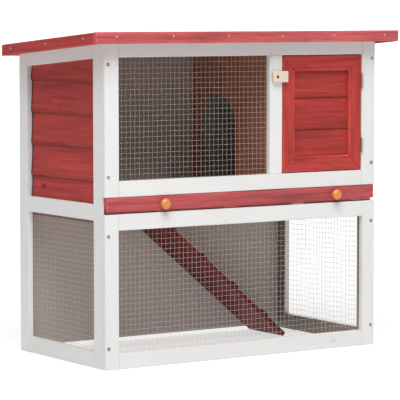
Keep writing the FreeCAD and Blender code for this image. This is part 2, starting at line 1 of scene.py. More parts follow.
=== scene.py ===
"""Looks of a two-storey wooden rabbit hutch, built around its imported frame. Metres throughout."""
import math
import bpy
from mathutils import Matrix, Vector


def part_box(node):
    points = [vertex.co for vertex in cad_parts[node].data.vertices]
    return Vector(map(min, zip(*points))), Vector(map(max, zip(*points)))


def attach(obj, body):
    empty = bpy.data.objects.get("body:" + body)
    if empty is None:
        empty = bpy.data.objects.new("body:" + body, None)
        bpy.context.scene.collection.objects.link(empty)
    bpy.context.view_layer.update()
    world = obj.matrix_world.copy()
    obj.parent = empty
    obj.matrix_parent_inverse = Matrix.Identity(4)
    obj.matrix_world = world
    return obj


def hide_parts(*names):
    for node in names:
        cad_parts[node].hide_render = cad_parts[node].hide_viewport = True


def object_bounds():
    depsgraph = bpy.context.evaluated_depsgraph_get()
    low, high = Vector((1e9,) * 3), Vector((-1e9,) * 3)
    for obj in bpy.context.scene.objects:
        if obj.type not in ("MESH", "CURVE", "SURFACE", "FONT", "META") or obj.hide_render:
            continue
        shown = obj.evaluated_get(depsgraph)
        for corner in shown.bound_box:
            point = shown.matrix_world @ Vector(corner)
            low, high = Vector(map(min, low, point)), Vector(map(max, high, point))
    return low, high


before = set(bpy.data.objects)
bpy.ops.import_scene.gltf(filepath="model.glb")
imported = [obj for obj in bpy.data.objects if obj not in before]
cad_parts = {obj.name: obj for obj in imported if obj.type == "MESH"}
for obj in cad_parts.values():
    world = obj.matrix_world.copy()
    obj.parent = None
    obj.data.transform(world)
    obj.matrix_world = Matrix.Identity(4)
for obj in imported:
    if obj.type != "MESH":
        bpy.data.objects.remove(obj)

import zlib

import bpy
import numpy as np
from bpy.props import FloatProperty, FloatVectorProperty, PointerProperty
from mathutils import Vector

bl_info = {
    "name": "Rabbit Hutch",
    "version": (1, 0, 0),
    "blender": (4, 5, 0),
    "location": "3D View > Sidebar > Hutch",
    "description": "Painted timber, wire mesh, roof and fittings of a two-storey rabbit hutch",
    "category": "Add Mesh",
}

CAD_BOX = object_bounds()
MM = 0.001
TAU = 2 * math.pi


# Colours and settings


def linear(colour):
    """An sRGB hex colour as linear red, green and blue."""
    values = [int(colour[i:i + 2], 16) / 255 for i in (1, 3, 5)]
    return tuple(v / 12.92 if v <= 0.04045 else ((v + 0.055) / 1.055) ** 2.4 for v in values)


def colour_setting(name, description, colour):
    """A colour that a user can change."""
    return FloatVectorProperty(
        name=name, description=description, default=linear(colour), subtype="COLOR", min=0.0, max=1.0
    )


def length_setting(name, description, default):
    """A length that a user can change, in metres."""
    return FloatProperty(name=name, description=description, default=default, min=0.0, unit="LENGTH")


class HutchSizes(bpy.types.PropertyGroup):
    """Sizes of the looks, which the frame doesn't fix."""

    arris: length_setting("Arris", "Radius of a planed board's softened edges", 1.4 * MM)
    wobble: length_setting("Wobble", "How far a planed face wanders from flat", 0.25 * MM)
    wire: length_setting("Wire", "Diameter of the mesh wire", 0.52 * MM)
    pitch: length_setting("Mesh pitch", "Distance between mesh wires", 12.7 * MM)
    sag: length_setting("Mesh sag", "How far the mesh wanders between its staples", 1.3 * MM)


class HutchColours(bpy.types.PropertyGroup):
    """Base colours of the finishes."""

    white: colour_setting("White paint", "Satin white paint on the frames", "#e4e4e3")
    red: colour_setting("Slat red", "Red stain on the side slats and side fascias", "#ad3d39")
    door_red: colour_setting("Door red", "Red stain on the door", "#b33d37")
    fascia_red: colour_setting("Fascia red", "Red stain on the front fascia and the tray front", "#b75355")
    ramp_red: colour_setting("Ramp red", "Red stain on the ramp and the runners", "#641010")
    birch: colour_setting("Turn button wood", "Bare wood of the turn button", "#e6d3c0")
    pull: colour_setting("Pull lacquer", "Orange lacquer on the tray pulls", "#e08c3e")
    board: colour_setting("Partition board", "Brown plywood of the partition and the tray", "#b67a56")
    back: colour_setting("Back board", "Grey-brown board at the back", "#b3a8a2")
    zinc: colour_setting("Zinc", "Galvanised wire and plated hinges", "#d2cfca")
    felt: colour_setting("Roof felt", "Mineral felt on the roof", "#4a4d4b")


def sizes():
    """The size settings."""
    return bpy.context.scene.hutch_sizes


def colours():
    """The colour settings."""
    return bpy.context.scene.hutch_colours


def random_of(name):
    """A random generator that a piece's name seeds."""
    return np.random.default_rng(zlib.crc32(name.encode()))


# Surfaces


def drift(t, generator, waves=4):
    """A smooth random curve of t: sines of rising frequency and falling height, within about -1 to 1."""
    order = np.arange(1, waves + 1)
    phase = generator.uniform(0, TAU, waves)
    height = generator.uniform(0.4, 1.0, waves) / order
    angle = np.multiply.outer(t, order * TAU * 0.8) + phase
    return (np.sin(angle) * height).sum(-1) / height.sum()


def pith(generator):
    """Where a board lies in its log: anywhere along it, and 10 to 50 mm from the heart."""
    return generator.uniform((-50, -0.03, 0.01), (50, 0.03, 0.05))


def rounded_ring(half_width, half_depth, radius, inset):
    """Section of a board with rounded corners: four quarter arcs, each with a flat point beside it.

    Returns (ring, 2) offsets and (ring,) corner weights. A corner's arc is its centre plus
    (radius - inset) times (cos a, sin a).
    """
    half = np.array([half_width, half_depth])
    support = np.minimum(2.2 * radius, 0.8 * (half - radius))
    offsets, weights = [], []
    for quarter in range(4):
        angle = (quarter + np.linspace(0, 1, 4)) * math.pi / 2
        sign = np.array([1.0 if quarter in (0, 3) else -1.0, 1.0 if quarter < 2 else -1.0])
        arc = sign * (half - radius) + (radius - inset) * np.stack([np.cos(angle), np.sin(angle)], -1)
        tangent = np.stack([-np.sin(angle), np.cos(angle)], -1)
        offsets.append(np.vstack([arc[0] - support * tangent[0], arc, arc[-1] + support * tangent[-1]]))
        weights.append(np.array([0.0, 1.0, 1.0, 1.0, 1.0, 0.0]))
    return np.vstack(offsets), np.concatenate(weights)


def board(name, low, high, along, arris=None, wobble=None, warp=None, stations=14, extra=()):
    """A planed board between two corners, with its length along axis 0, 1 or 2.

    The section is a rounded rectangle. Carried from end to end, it shrinks over the last arris
    by arris * (1 - sin a) while it moves arris * (1 - cos a), which rounds the ends too. A smooth
    random drift bows it by up to wobble. warp maps the finished points, as for a slope or a mitre.
    extra holds further places along the length for rings.
    Returns points, grain coordinates (along, across, through) and corner weights on one grid.
    """
    arris = sizes().arris if arris is None else arris
    wobble = sizes().wobble if wobble is None else wobble
    low, high = np.array(low, float), np.array(high, float)
    span = high - low
    others = [axis for axis in range(3) if axis != along]
    across, through = sorted(others, key=lambda axis: -span[axis])
    generator = random_of(name)
    turn = np.linspace(0.08, 1, 4) * math.pi / 2
    inset = arris * (1 - np.sin(turn))
    near = arris * (1 - np.cos(turn))
    middle = np.linspace(near[-1] * 2, span[along] - near[-1] * 2, stations)
    middle = np.unique(np.concatenate([middle, np.array(extra) - low[along]]))
    reach = np.concatenate([near, middle, span[along] - near[::-1]])
    insets = np.concatenate([inset, np.zeros(len(middle)), inset[::-1]])
    t = reach / max(span[along], 1e-6)
    rings = [rounded_ring(span[across] / 2, span[through] / 2, arris, i) for i in insets]
    section = np.stack([ring for ring, _ in rings])
    bow = np.stack([drift(t, generator), drift(t, generator)], -1) * wobble
    swell = 1 + drift(t, generator)[:, None] * wobble / span[across]
    local = section * swell[..., None] + bow[:, None, :]
    points = np.empty(section.shape[:2] + (3,))
    points[..., along] = low[along] + reach[:, None]
    points[..., across] = (low[across] + high[across]) / 2 + local[..., 0]
    points[..., through] = (low[through] + high[through]) / 2 + local[..., 1]
    grain = np.stack(
        [np.broadcast_to(reach[:, None], section.shape[:2]), section[..., 0], section[..., 1]], -1
    ) + pith(generator)
    corner = np.broadcast_to(rings[0][1], section.shape[:2]).copy()
    corner[:4] = corner[-4:] = 1.0
    if warp is not None:
        points = warp(points)
    return points, grain, corner


def tube(path, radius, sides, across, through):
    """Round wires: circles of sides points, in the plane of two fixed directions, along paths.

    path is (wires, stations, 3). Point = path + radius * (cos a * across + sin a * through).
    """
    angle = np.arange(sides) * TAU / sides
    circle = radius * (np.outer(np.cos(angle), across) + np.outer(np.sin(angle), through))
    return path[:, :, None, :] + circle


def lathe(profile, foot, direction, sides=32):
    """A turned piece: profile points (radius, height) carried round a line from foot along direction."""
    axis = np.array(direction, float) / np.linalg.norm(direction)
    side = np.cross(axis, (0.31, 0.83, 0.47))
    side /= np.linalg.norm(side)
    other = np.cross(axis, side)
    angle = np.arange(sides) * TAU / sides
    circle = np.outer(np.cos(angle), side) + np.outer(np.sin(angle), other)
    radius, height = np.array(profile).T
    points = np.array(foot) + radius[:, None, None] * circle + height[:, None, None] * axis
    flat = (np.cos(angle)[None, :] * radius[:, None], np.sin(angle)[None, :] * radius[:, None])
    grain = np.stack([np.broadcast_to(height[:, None], flat[0].shape), flat[0], flat[1]], -1)
    return points, grain, np.zeros(flat[0].shape)


def outward(points, quads):
    """True if a closed grid's quads wind so that its volume comes out positive."""
    a, b, c, d = (points[quads[:, k]] for k in range(4))
    volume = np.einsum("ij,ij->i", a, np.cross(b, c) + np.cross(c, d)).sum()
    return volume >= 0


def closed_grid(points):
    """Quads round and along one grid of rings, and a flat cap on each end, all facing outwards."""
    stations, ring = points.shape[:2]
    i, j = np.meshgrid(np.arange(stations - 1), np.arange(ring), indexing="ij")
    after = (j + 1) % ring
    quads = np.stack([i * ring + j, i * ring + after, (i + 1) * ring + after, (i + 1) * ring + j], -1)
    quads = quads.reshape(-1, 4)
    first = np.arange(ring)[::-1]
    last = (stations - 1) * ring + np.arange(ring)
    flat = points.reshape(-1, 3)
    if not outward(flat - flat.mean(0), quads):
        return quads[:, ::-1], first[::-1], last[::-1]
    return quads, first, last


def make_piece(name, node, shells, material, body="root", flat_faces=True):
    """One object in a CAD node's place, from closed shells of (points, grain, arris weights); an arris
    weight above 0 marks rubbed wear, below 0 a painted shade.

    With flat_faces, normals follow the large faces and bend only over the softened arrises.
    """
    points, grain, arris, starts, loops, counts = [], [], [], 0, [], []
    for shell_points, shell_grain, shell_arris in shells:
        quads, first, last = closed_grid(shell_points)
        points.append(shell_points.reshape(-1, 3))
        grain.append(shell_grain.reshape(-1, 3))
        arris.append(shell_arris.ravel())
        loops += [quads.ravel() + starts, first + starts, last + starts]
        counts += [np.full(len(quads), 4), [len(first)], [len(last)]]
        starts += len(points[-1])
    points, loops, counts = np.vstack(points), np.concatenate(loops), np.concatenate(counts)
    mesh = bpy.data.meshes.new(name)
    mesh.vertices.add(len(points))
    mesh.vertices.foreach_set("co", points.astype(np.float32).ravel())
    mesh.loops.add(len(loops))
    mesh.loops.foreach_set("vertex_index", loops.astype(np.int32))
    mesh.polygons.add(len(counts))
    mesh.polygons.foreach_set("loop_start", np.concatenate([[0], np.cumsum(counts)[:-1]]).astype(np.int32))
    mesh.polygons.foreach_set("use_smooth", np.ones(len(counts), bool))
    mesh.update(calc_edges=True)
    mesh.attributes.new("grain", "FLOAT_VECTOR", "POINT").data.foreach_set(
        "vector", np.vstack(grain).astype(np.float32).ravel()
    )
    # The arris attribute: rubbed wear where positive, painted shade where negative.
    mesh.attributes.new("arris", "FLOAT", "POINT").data.foreach_set(
        "value", np.concatenate(arris).astype(np.float32)
    )
    piece = bpy.data.objects.new(name, mesh)
    bpy.context.scene.collection.objects.link(piece)
    piece.data.materials.append(finish(material))
    if flat_faces:
        normals = piece.modifiers.new("Flat faces, soft arrises", "WEIGHTED_NORMAL")
        normals.weight = 100
    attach(piece, body)
    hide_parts(node)


def finish_nodes(material, *names):
    """CAD nodes keep their meshes and take a material."""
    for name in names:
        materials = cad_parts[name].data.materials
        materials.clear()
        materials.append(finish(material))


# Materials


BLEND = {"data_type": "RGBA", "blend_type": "MIX"}
MULTIPLY = {"data_type": "RGBA", "blend_type": "MULTIPLY"}
TIMES = {"operation": "MULTIPLY"}
MIXED = 2  # the colour output of a Mix node
# Dark grey-brown for the faces of the side frames that look into the hutch.
INSIDE_GREY_BROWNS = ("#6f6259", "#95877c")


def add(tree, kind, settings, output=0):
    """Adds a shader node and returns one of its outputs.

    A setting's key is a property's name, or an input's name or number. A value that is a socket is
    linked, a colour gets its alpha, and stops are a colour ramp's (place, linear colour) pairs.
    """
    node = tree.nodes.new("ShaderNode" + kind)
    for key, value in settings.items():
        if key == "stops":
            elements = node.color_ramp.elements
            while len(elements) < len(value):
                elements.new(0.5)
            for element, (place, colour) in zip(elements, value):
                element.position = place
                element.color = (*colour, 1.0)
        elif isinstance(key, str) and hasattr(node, key):
            setattr(node, key, value)
        elif isinstance(value, bpy.types.NodeSocket):
            tree.links.new(value, node.inputs[key])
        elif node.inputs[key].type == "RGBA":
            node.inputs[key].default_value = (*value[:3], 1.0)
        else:
            node.inputs[key].default_value = value
    return node.outputs[output] if node.outputs else None


def grey(value):
    """A grey as a linear colour."""
    return (value, value, value)


def shade(colour, factor):
    """A colour made darker or lighter."""
    return tuple(min(1.0, channel * factor) for channel in colour[:3])


def new_material(name):
    """A material and its empty tree."""
    material = bpy.data.materials.new(name)
    material.use_nodes = True
    material.node_tree.nodes.clear()
    return material, material.node_tree


def finished(material, settings):
    """The material, closed with its Principled shader."""
    tree = material.node_tree
    add(tree, "OutputMaterial", {"Surface": add(tree, "BsdfPrincipled", settings)})
    return material


def wood_coordinates(tree, along=None):
    """Grain coordinates in metres, with x along the board.

    A new piece stores them as its grain attribute. A CAD node has none, so there they come from
    Object coordinates, turned so that the axis along becomes x.
    """
    if along is None:
        return add(tree, "Attribute", {"attribute_name": "grain"}, "Vector")
    place = add(tree, "TexCoord", {}, "Object")
    order = {"x": (0, 2, 1), "z": (2, 0, 1)}[along]
    parts = {k: add(tree, "SeparateXYZ", {0: place}, axis) for k, axis in enumerate(order)}
    return add(tree, "CombineXYZ", parts)


def mottle(tree, coordinates, per_metre, detail=3.0, roughness=0.55, distortion=0.0):
    """Soft random tone with per_metre cells along, across and through the grain."""
    cells = add(tree, "Mapping", {"Scale": per_metre, "Vector": coordinates})
    settings = {"Scale": 1.0, "Detail": detail, "Roughness": roughness, "Distortion": distortion}
    return add(tree, "TexNoise", settings | {"Vector": cells}, "Fac")


def growth_rings(tree, coordinates, spacing):
    """Cathedral grain: rings of the given spacing in metres round a pith line beside the board.

    The distance from the pith, bent by slow noise along the board, goes through a saw wave.
    """
    bend = mottle(tree, coordinates, (3.0, 12.0, 12.0), 2.0)
    beside = {"Location": (0, 0.013, 0.021), "Scale": (0.04, 1.0, 1.0), "Vector": coordinates}
    shifted = add(tree, "Mapping", beside)
    bent = add(
        tree, "VectorMath", {"operation": "MULTIPLY_ADD", 0: bend, 1: (0.0, 0.05, 0.05), 2: shifted}
    )
    rings = {"wave_type": "RINGS", "rings_direction": "X", "wave_profile": "SAW"}
    shape = {"Scale": TAU / (20 * spacing), "Distortion": 1.2, "Detail": 2.0, "Detail Scale": 2.0}
    return add(tree, "TexWave", rings | shape | {"Vector": bent}, "Fac")


def knots(tree, coordinates):
    """Sparse knots: 1 in a knot's heart, falling to 0, about 22 mm long and 12 mm wide."""
    cells = add(tree, "Mapping", {"Scale": (9.0, 16.0, 4.0), "Vector": coordinates})
    voronoi = {"Scale": 1.0, "Randomness": 1.0, "Vector": cells}
    chance = add(tree, "SeparateXYZ", {0: add(tree, "TexVoronoi", voronoi, "Color")})
    chosen = add(tree, "Math", {"operation": "GREATER_THAN", 0: chance, 1: 0.78})
    fall = {"From Min": 0.13, "From Max": 0.05, "To Min": 0.0, "To Max": 1.0}
    distance = add(tree, "TexVoronoi", voronoi, "Distance")
    near = add(tree, "MapRange", {"interpolation_type": "SMOOTHSTEP"} | fall | {"Value": distance})
    return add(tree, "Math", TIMES | {0: chosen, 1: near})


def painted_pine(name, colour, grey_brown_inside=False):
    """Satin white paint brushed over planed pine: the grain reads as faint raised lines, knots
    shine through a little yellow, and the paint is rubbed a touch thinner on the arrises. With its
    last argument true, faces that look into the hutch across its width take a streaked dark
    grey-brown instead: there the place's x times the normal's x is negative."""
    material, tree = new_material(name)
    grain = wood_coordinates(tree)
    fine = mottle(tree, grain, (14, 700, 700), 2.0)
    broad = mottle(tree, grain, (5, 30, 30), 2.0)
    base = add(tree, "Mix", BLEND | {0: broad, 6: shade(colour, 0.94), 7: shade(colour, 1.04)}, MIXED)
    lines = add(tree, "ValToRGB", {"Fac": fine, "stops": ((0.3, grey(0.94)), (0.6, grey(1.0)))})
    streaked = add(tree, "Mix", MULTIPLY | {0: 0.7, 6: base, 7: lines}, MIXED)
    ghost = add(tree, "Math", TIMES | {0: knots(tree, grain), 1: 0.35})
    knotted = add(tree, "Mix", BLEND | {0: ghost, 6: streaked, 7: linear("#c8bba4")}, MIXED)
    wear_and_shade = add(tree, "Attribute", {"attribute_name": "arris"}, "Fac")
    patchy = add(tree, "Math", TIMES | {0: wear_and_shade, 1: mottle(tree, grain, (60, 200, 200), 2.0)})
    worn = add(tree, "Mix", BLEND | {0: patchy, 6: knotted, 7: linear("#ded8d0")}, MIXED)
    # Faces that look into the hutch across its width take a streaked dark grey-brown in place of the white.
    if grey_brown_inside:
        side = add(tree, "SeparateXYZ", {0: add(tree, "TexCoord", {}, "Object")})
        facing = add(tree, "SeparateXYZ", {0: add(tree, "TexCoord", {}, "Normal")})
        outwards = add(tree, "Math", TIMES | {0: side, 1: facing})
        inside = add(tree, "Math", {"operation": "LESS_THAN", 0: outwards, 1: -0.2})
        dark, pale = (linear(colour) for colour in INSIDE_GREY_BROWNS)
        grey_brown = add(tree, "Mix", BLEND | {0: fine, 6: dark, 7: pale}, MIXED)
        worn = add(tree, "Mix", BLEND | {0: inside, 6: worn, 7: grey_brown}, MIXED)
    relief = add(tree, "Bump", {"Strength": 0.6, "Distance": 0.12 * MM, "Height": fine})
    return finished(material, {"Base Color": worn, "Roughness": 0.5, "Normal": relief})


def stained_pine(name, colour):
    """Red water-based stain on planed pine: it soaks in unevenly, so short streaks and blotches run
    with the grain, the winter rings show as faint darker lines, and knots stay dark. Arrises are
    rubbed paler where arris is 1. Where it is below 0 a painted shade darkens the stain, by more
    the lower it is, as under a lap or along a lower edge."""
    material, tree = new_material(name)
    grain = wood_coordinates(tree)
    rings = growth_rings(tree, grain, 6 * MM)
    fine = mottle(tree, grain, (12, 380, 380), 4.0, 0.65)
    streaks = mottle(tree, grain, (5, 95, 95), 4.0, 0.6)
    broad = mottle(tree, grain, (2.5, 16, 16), 3.0)
    tone = add(tree, "Mix", BLEND | {0: broad, 6: shade(colour, 0.74), 7: shade(colour, 1.26)}, MIXED)
    layers = (
        (0.35, rings, ((0.0, grey(0.6)), (0.3, grey(1.0)), (1.0, grey(1.1)))),
        (0.8, streaks, ((0.3, grey(0.62)), (0.5, grey(1.0)), (0.72, grey(1.3)))),
        (0.7, fine, ((0.3, grey(0.7)), (0.5, grey(1.0)), (0.7, grey(1.12)))),
    )
    for strength, pattern, stops in layers:
        lines = add(tree, "ValToRGB", {"Fac": pattern, "stops": stops})
        tone = add(tree, "Mix", MULTIPLY | {0: strength, 6: tone, 7: lines}, MIXED)
    knotted = add(tree, "Mix", BLEND | {0: knots(tree, grain), 6: tone, 7: shade(colour, 0.42)}, MIXED)
    wear_and_shade = add(tree, "Attribute", {"attribute_name": "arris"}, "Fac")
    patchy = add(tree, "Math", TIMES | {0: wear_and_shade, 1: mottle(tree, grain, (80, 200, 200), 2.0)})
    faded = add(tree, "Mix", MULTIPLY | {0: 1.0, 6: tone, 7: grey(1.5)}, MIXED)
    worn = add(tree, "Mix", BLEND | {0: patchy, 6: knotted, 7: faded}, MIXED)
    # Painted shade: where the arris weight is below 0, the colour is mixed towards a fifth of the stain.
    shade_weight = add(tree, "Math", TIMES | {0: wear_and_shade, 1: -0.85})
    painted_shade = add(tree, "Mix", BLEND | {0: shade_weight, 6: worn, 7: shade(colour, 0.2)}, MIXED)
    height = add(tree, "Mix", MULTIPLY | {0: 0.4, 6: fine, 7: rings}, MIXED)
    relief = add(tree, "Bump", {"Strength": 0.7, "Distance": 0.2 * MM, "Height": height})
    gloss = {"Roughness": 0.6, "Specular IOR Level": 0.25}
    return finished(material, {"Base Color": painted_shade, "Normal": relief} | gloss)


def bare_birch(name, colour):
    """Bare planed hardwood: pale, with short fine flecks along the grain."""
    material, tree = new_material(name)
    grain = wood_coordinates(tree)
    flecks = mottle(tree, grain, (90, 900, 900), 3.0)
    broad = mottle(tree, grain, (15, 60, 60), 2.0)
    tone = add(tree, "Mix", BLEND | {0: broad, 6: shade(colour, 0.9), 7: shade(colour, 1.03)}, MIXED)
    dots = add(tree, "ValToRGB", {"Fac": flecks, "stops": ((0.35, grey(0.82)), (0.6, grey(1.0)))})
    tinted = add(tree, "Mix", MULTIPLY | {0: 0.6, 6: tone, 7: dots}, MIXED)
    relief = add(tree, "Bump", {"Strength": 1.0, "Distance": 0.08 * MM, "Height": flecks})
    return finished(material, {"Base Color": tinted, "Roughness": 0.6, "Normal": relief})


def lacquered_birch(name, colour):
    """Turned hardwood under clear orange lacquer: glossy, with rings round the end grain."""
    material, tree = new_material(name)
    grain = wood_coordinates(tree)
    rings = growth_rings(tree, grain, 3 * MM)
    pores = mottle(tree, grain, (120, 700, 700), 3.0)
    tone = add(tree, "Mix", BLEND | {0: rings, 6: shade(colour, 0.82), 7: shade(colour, 1.06)}, MIXED)
    dots = add(tree, "ValToRGB", {"Fac": pores, "stops": ((0.35, grey(0.8)), (0.55, grey(1.0)))})
    pored = add(tree, "Mix", MULTIPLY | {0: 0.5, 6: tone, 7: dots}, MIXED)
    gloss = {"Roughness": 0.35, "Coat Weight": 0.6, "Coat Roughness": 0.12}
    return finished(material, {"Base Color": pored} | gloss)


def plywood(name, colour, along, contrast=1.0):
    """Sanded plywood or fibreboard: wide soft figure from the peeled veneer, and short pores."""
    material, tree = new_material(name)
    grain = wood_coordinates(tree, along)
    figure = mottle(tree, grain, (4, 26, 26), 4.0, 0.6, 0.8)
    pores = mottle(tree, grain, (60, 900, 900), 3.0)
    dark, pale = shade(colour, 1 - 0.2 * contrast), shade(colour, 1 + 0.16 * contrast)
    tone = add(tree, "Mix", BLEND | {0: figure, 6: dark, 7: pale}, MIXED)
    dots = add(tree, "ValToRGB", {"Fac": pores, "stops": ((0.3, grey(0.72)), (0.5, grey(1.0)))})
    pored = add(tree, "Mix", MULTIPLY | {0: 0.6 * contrast, 6: tone, 7: dots}, MIXED)
    relief = add(tree, "Bump", {"Strength": 0.6, "Distance": 0.1 * MM, "Height": pores})
    return finished(material, {"Base Color": pored, "Roughness": 0.75, "Normal": relief})


def galvanised_wire(name, colour):
    """Hot-dip zinc on steel wire: bright but dull, with a faint crystal mottle."""
    material, tree = new_material(name)
    crystals = mottle(tree, add(tree, "TexCoord", {}, "Object"), (160, 160, 160), 3.0)
    tone = add(tree, "Mix", BLEND | {0: crystals, 6: shade(colour, 0.7), 7: shade(colour, 1.1)}, MIXED)
    return finished(material, {"Base Color": tone, "Metallic": 0.2, "Roughness": 0.5})


def zinc_plate(name, colour):
    """Passivated zinc plating on pressed steel: bright, with fine rolling lines."""
    material, tree = new_material(name)
    lines = mottle(tree, add(tree, "TexCoord", {}, "Object"), (300, 300, 40), 3.0)
    tone = add(tree, "Mix", BLEND | {0: lines, 6: shade(colour, 0.7), 7: shade(colour, 1.05)}, MIXED)
    gloss = add(tree, "ValToRGB", {"Fac": lines, "stops": ((0.3, grey(0.5)), (0.7, grey(0.32)))})
    relief = add(tree, "Bump", {"Strength": 1.0, "Distance": 0.03 * MM, "Height": lines})
    return finished(material, {"Base Color": tone, "Metallic": 0.9, "Roughness": gloss, "Normal": relief})


def dull_steel(name, cells, stops, metallic, roughness):
    """Steel whose tone drifts between two colours, in cells per metre."""
    material, tree = new_material(name)
    patches = mottle(tree, add(tree, "TexCoord", {}, "Object"), (cells, cells, cells), 2.0)
    stops = [(place, linear(colour)) for place, colour in stops]
    tone = add(tree, "ValToRGB", {"Fac": patches, "stops": stops})
    return finished(material, {"Base Color": tone, "Metallic": metallic, "Roughness": roughness})


def blackened_steel(name):
    """Black phosphated screw steel: dark, with a grey sheen where the driver has rubbed it."""
    return dull_steel(name, 500, ((0.45, "#3b3833"), (0.75, "#6f6a62")), 0.5, 0.5)


def bright_nail(name):
    """Bright steel nail heads, a little tarnished."""
    return dull_steel(name, 700, ((0.4, "#cfc0b4"), (0.8, "#8d6b58")), 0.4, 0.45)


def mineral_felt(name, colour):
    """Bitumen roofing felt with crushed slate: grit of about 1 mm in three greys over black."""
    material, tree = new_material(name)
    place = add(tree, "TexCoord", {}, "Object")
    grit = {"Scale": 1.0, "Vector": add(tree, "Mapping", {"Scale": (700, 700, 700), "Vector": place})}
    pale = add(tree, "SeparateXYZ", {0: add(tree, "TexVoronoi", grit, "Color")})
    greys = ((0.0, shade(colour, 0.5)), (0.45, shade(colour, 1.0)), (0.85, shade(colour, 1.9)))
    stones = add(tree, "ValToRGB", {"Fac": pale, "stops": greys})
    worn = mottle(tree, place, (9, 9, 9), 3.0)
    patches = add(tree, "ValToRGB", {"Fac": worn, "stops": ((0.3, grey(0.7)), (0.7, grey(1.1)))})
    tone = add(tree, "Mix", MULTIPLY | {0: 0.6, 6: stones, 7: patches}, MIXED)
    height = add(tree, "TexVoronoi", grit, "Distance")
    relief = add(tree, "Bump", {"Strength": 0.8, "Distance": 0.6 * MM, "Height": height})
    return finished(material, {"Base Color": tone, "Roughness": 0.9, "Normal": relief})


def stage_white(name, albedo, glow):
    """Seamless white studio paper with a little glow, which washes out to white under the soft box."""
    matt = {"Base Color": grey(albedo), "Roughness": 0.9, "Specular IOR Level": 0.0}
    lit = {"Emission Color": grey(1.0), "Emission Strength": glow}
    return finished(new_material(name)[0], matt | lit)


MAKERS = {
    "white paint on pine": lambda name: painted_pine(name, colours().white),
    "white paint outside on pine": lambda name: painted_pine(name, colours().white, True),
    "red stain on pine": lambda name: stained_pine(name, colours().red),
    "red stain on door": lambda name: stained_pine(name, colours().door_red),
    "red stain on door slats": lambda name: stained_pine(name, shade(colours().door_red, 0.84)),
    "red stain on fascia": lambda name: stained_pine(name, colours().fascia_red),
    "red stain on tray": lambda name: stained_pine(name, shade(colours().fascia_red, 0.9)),
    "red stain on ramp": lambda name: stained_pine(name, colours().ramp_red),
    "bare birch": lambda name: bare_birch(name, colours().birch),
    "lacquered birch": lambda name: lacquered_birch(name, colours().pull),
    "brown plywood upright": lambda name: plywood(name, colours().board, "z"),
    "brown plywood level": lambda name: plywood(name, colours().board, "x"),
    "grey-brown back board": lambda name: plywood(name, colours().back, "z", 0.5),
    "galvanised wire": lambda name: galvanised_wire(name, colours().zinc),
    "zinc plated steel": lambda name: zinc_plate(name, colours().zinc),
    "blackened screw steel": blackened_steel,
    "bright nail steel": bright_nail,
    "mineral roofing felt": lambda name: mineral_felt(name, colours().felt),
    "studio floor": lambda name: stage_white(name, 0.4, 0.62),
    "studio backdrop": lambda name: stage_white(name, 0.4, 1.0),
}


def finish(name):
    """The material of that name, made once."""
    return bpy.data.materials.get(name) or MAKERS[name](name)


# Places taken from the frame


def corners(node):
    """A node's lowest and highest corners as arrays."""
    low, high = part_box(node)
    return np.array(low), np.array(high)


def roof_fall():
    """Fall of the roof per metre towards the back, from its side fascia."""
    low, high = corners("roof_left_fascia")
    tall = corners("roof_front_fascia")
    thickness = tall[1][2] - tall[0][2]
    return (high[2] - low[2] - thickness) / (high[1] - low[1])


def sloped(low, high):
    """Warp that lets a board lying along Y fall with the roof: z drops by the fall times y."""
    fall = roof_fall()
    top = (high[2] - low[2]) - fall * (high[1] - low[1])

    def warp(points):
        share = (points[..., 2] - low[2]) / (high[2] - low[2])
        level = low[2] + share * top
        points[..., 2] = level + fall * (high[1] - points[..., 1])
        return points

    return warp


def sloped_top(low, high):
    """Warp that cuts an upright board's upper end to the roof's fall; its foot stays level."""
    fall = roof_fall()

    def warp(points):
        share = (points[..., 2] - low[2]) / (high[2] - low[2])
        points[..., 2] -= share * fall * (points[..., 1] - low[1])
        return points

    return warp


# White frames


FRONT_UPRIGHTS = (
    "front_lower_left_stile",
    "front_lower_right_stile",
    "front_upper_left_stile",
    "front_upper_right_stile",
    "front_mullion",
)
FRONT_RAILS = (
    "front_lower_top_rail",
    "front_lower_bottom_rail",
    "front_upper_top_rail",
    "front_upper_bottom_rail",
)


def frame_board(node, along, warp=None, paint="white paint on pine"):
    """A white board in a node's place."""
    low, high = corners(node)
    shell = board(node, low, high, along, warp=warp(low, high) if warp else None)
    make_piece(node + "_painted", node, [shell], paint)


def front_frames():
    """Stiles, rails and mullion of both front panels."""
    for node in FRONT_UPRIGHTS:
        frame_board(node, 2)
    for node in FRONT_RAILS:
        frame_board(node, 0)


SIDE_BOARDS = (
    ("_front_stile", 2, sloped_top),
    ("_rear_stile", 2, sloped_top),
    ("_top_rail", 1, sloped),
    ("_mid_rail", 1, None),
    ("_bottom_rail", 1, None),
)


def side_frames():
    """Stiles and rails of both side panels; the stiles and the top rail follow the roof."""
    for side in ("left", "right"):
        for name, along, warp in SIDE_BOARDS:
            frame_board(side + name, along, warp, "white paint outside on pine")


# Slats


LAP = 8 * MM
FACE_WANDER = 0.5 * MM
FOOT_WANDER = 0.6 * MM
# The next two lengths place painted shade on lapped slats: its fade-in below a lap, and the band it covers
# at a slat's far end.
SHADE_FADE = 3 * MM
END_SHADE = 4.5 * MM
SLAT_THICKNESS = 4.5 * MM
SLAT_RECESS = 8 * MM
SLAT_LEAN = 5.7 * MM
SLAT_HEIGHT = 87 * MM
SLAT_PITCH = 79 * MM
FIRST_SLAT_EDGE = 53 * MM
DOOR_SLAT_THICKNESS = 3 * MM
DOOR_SLAT_RECESS = 0.2 * MM
DOOR_SLAT_LEAN = 3.6 * MM
DOOR_SLAT_HEIGHT = 79 * MM
DOOR_SLAT_EDGES = (558 * MM, 638 * MM)
DOOR_ARRIS = 2 * MM


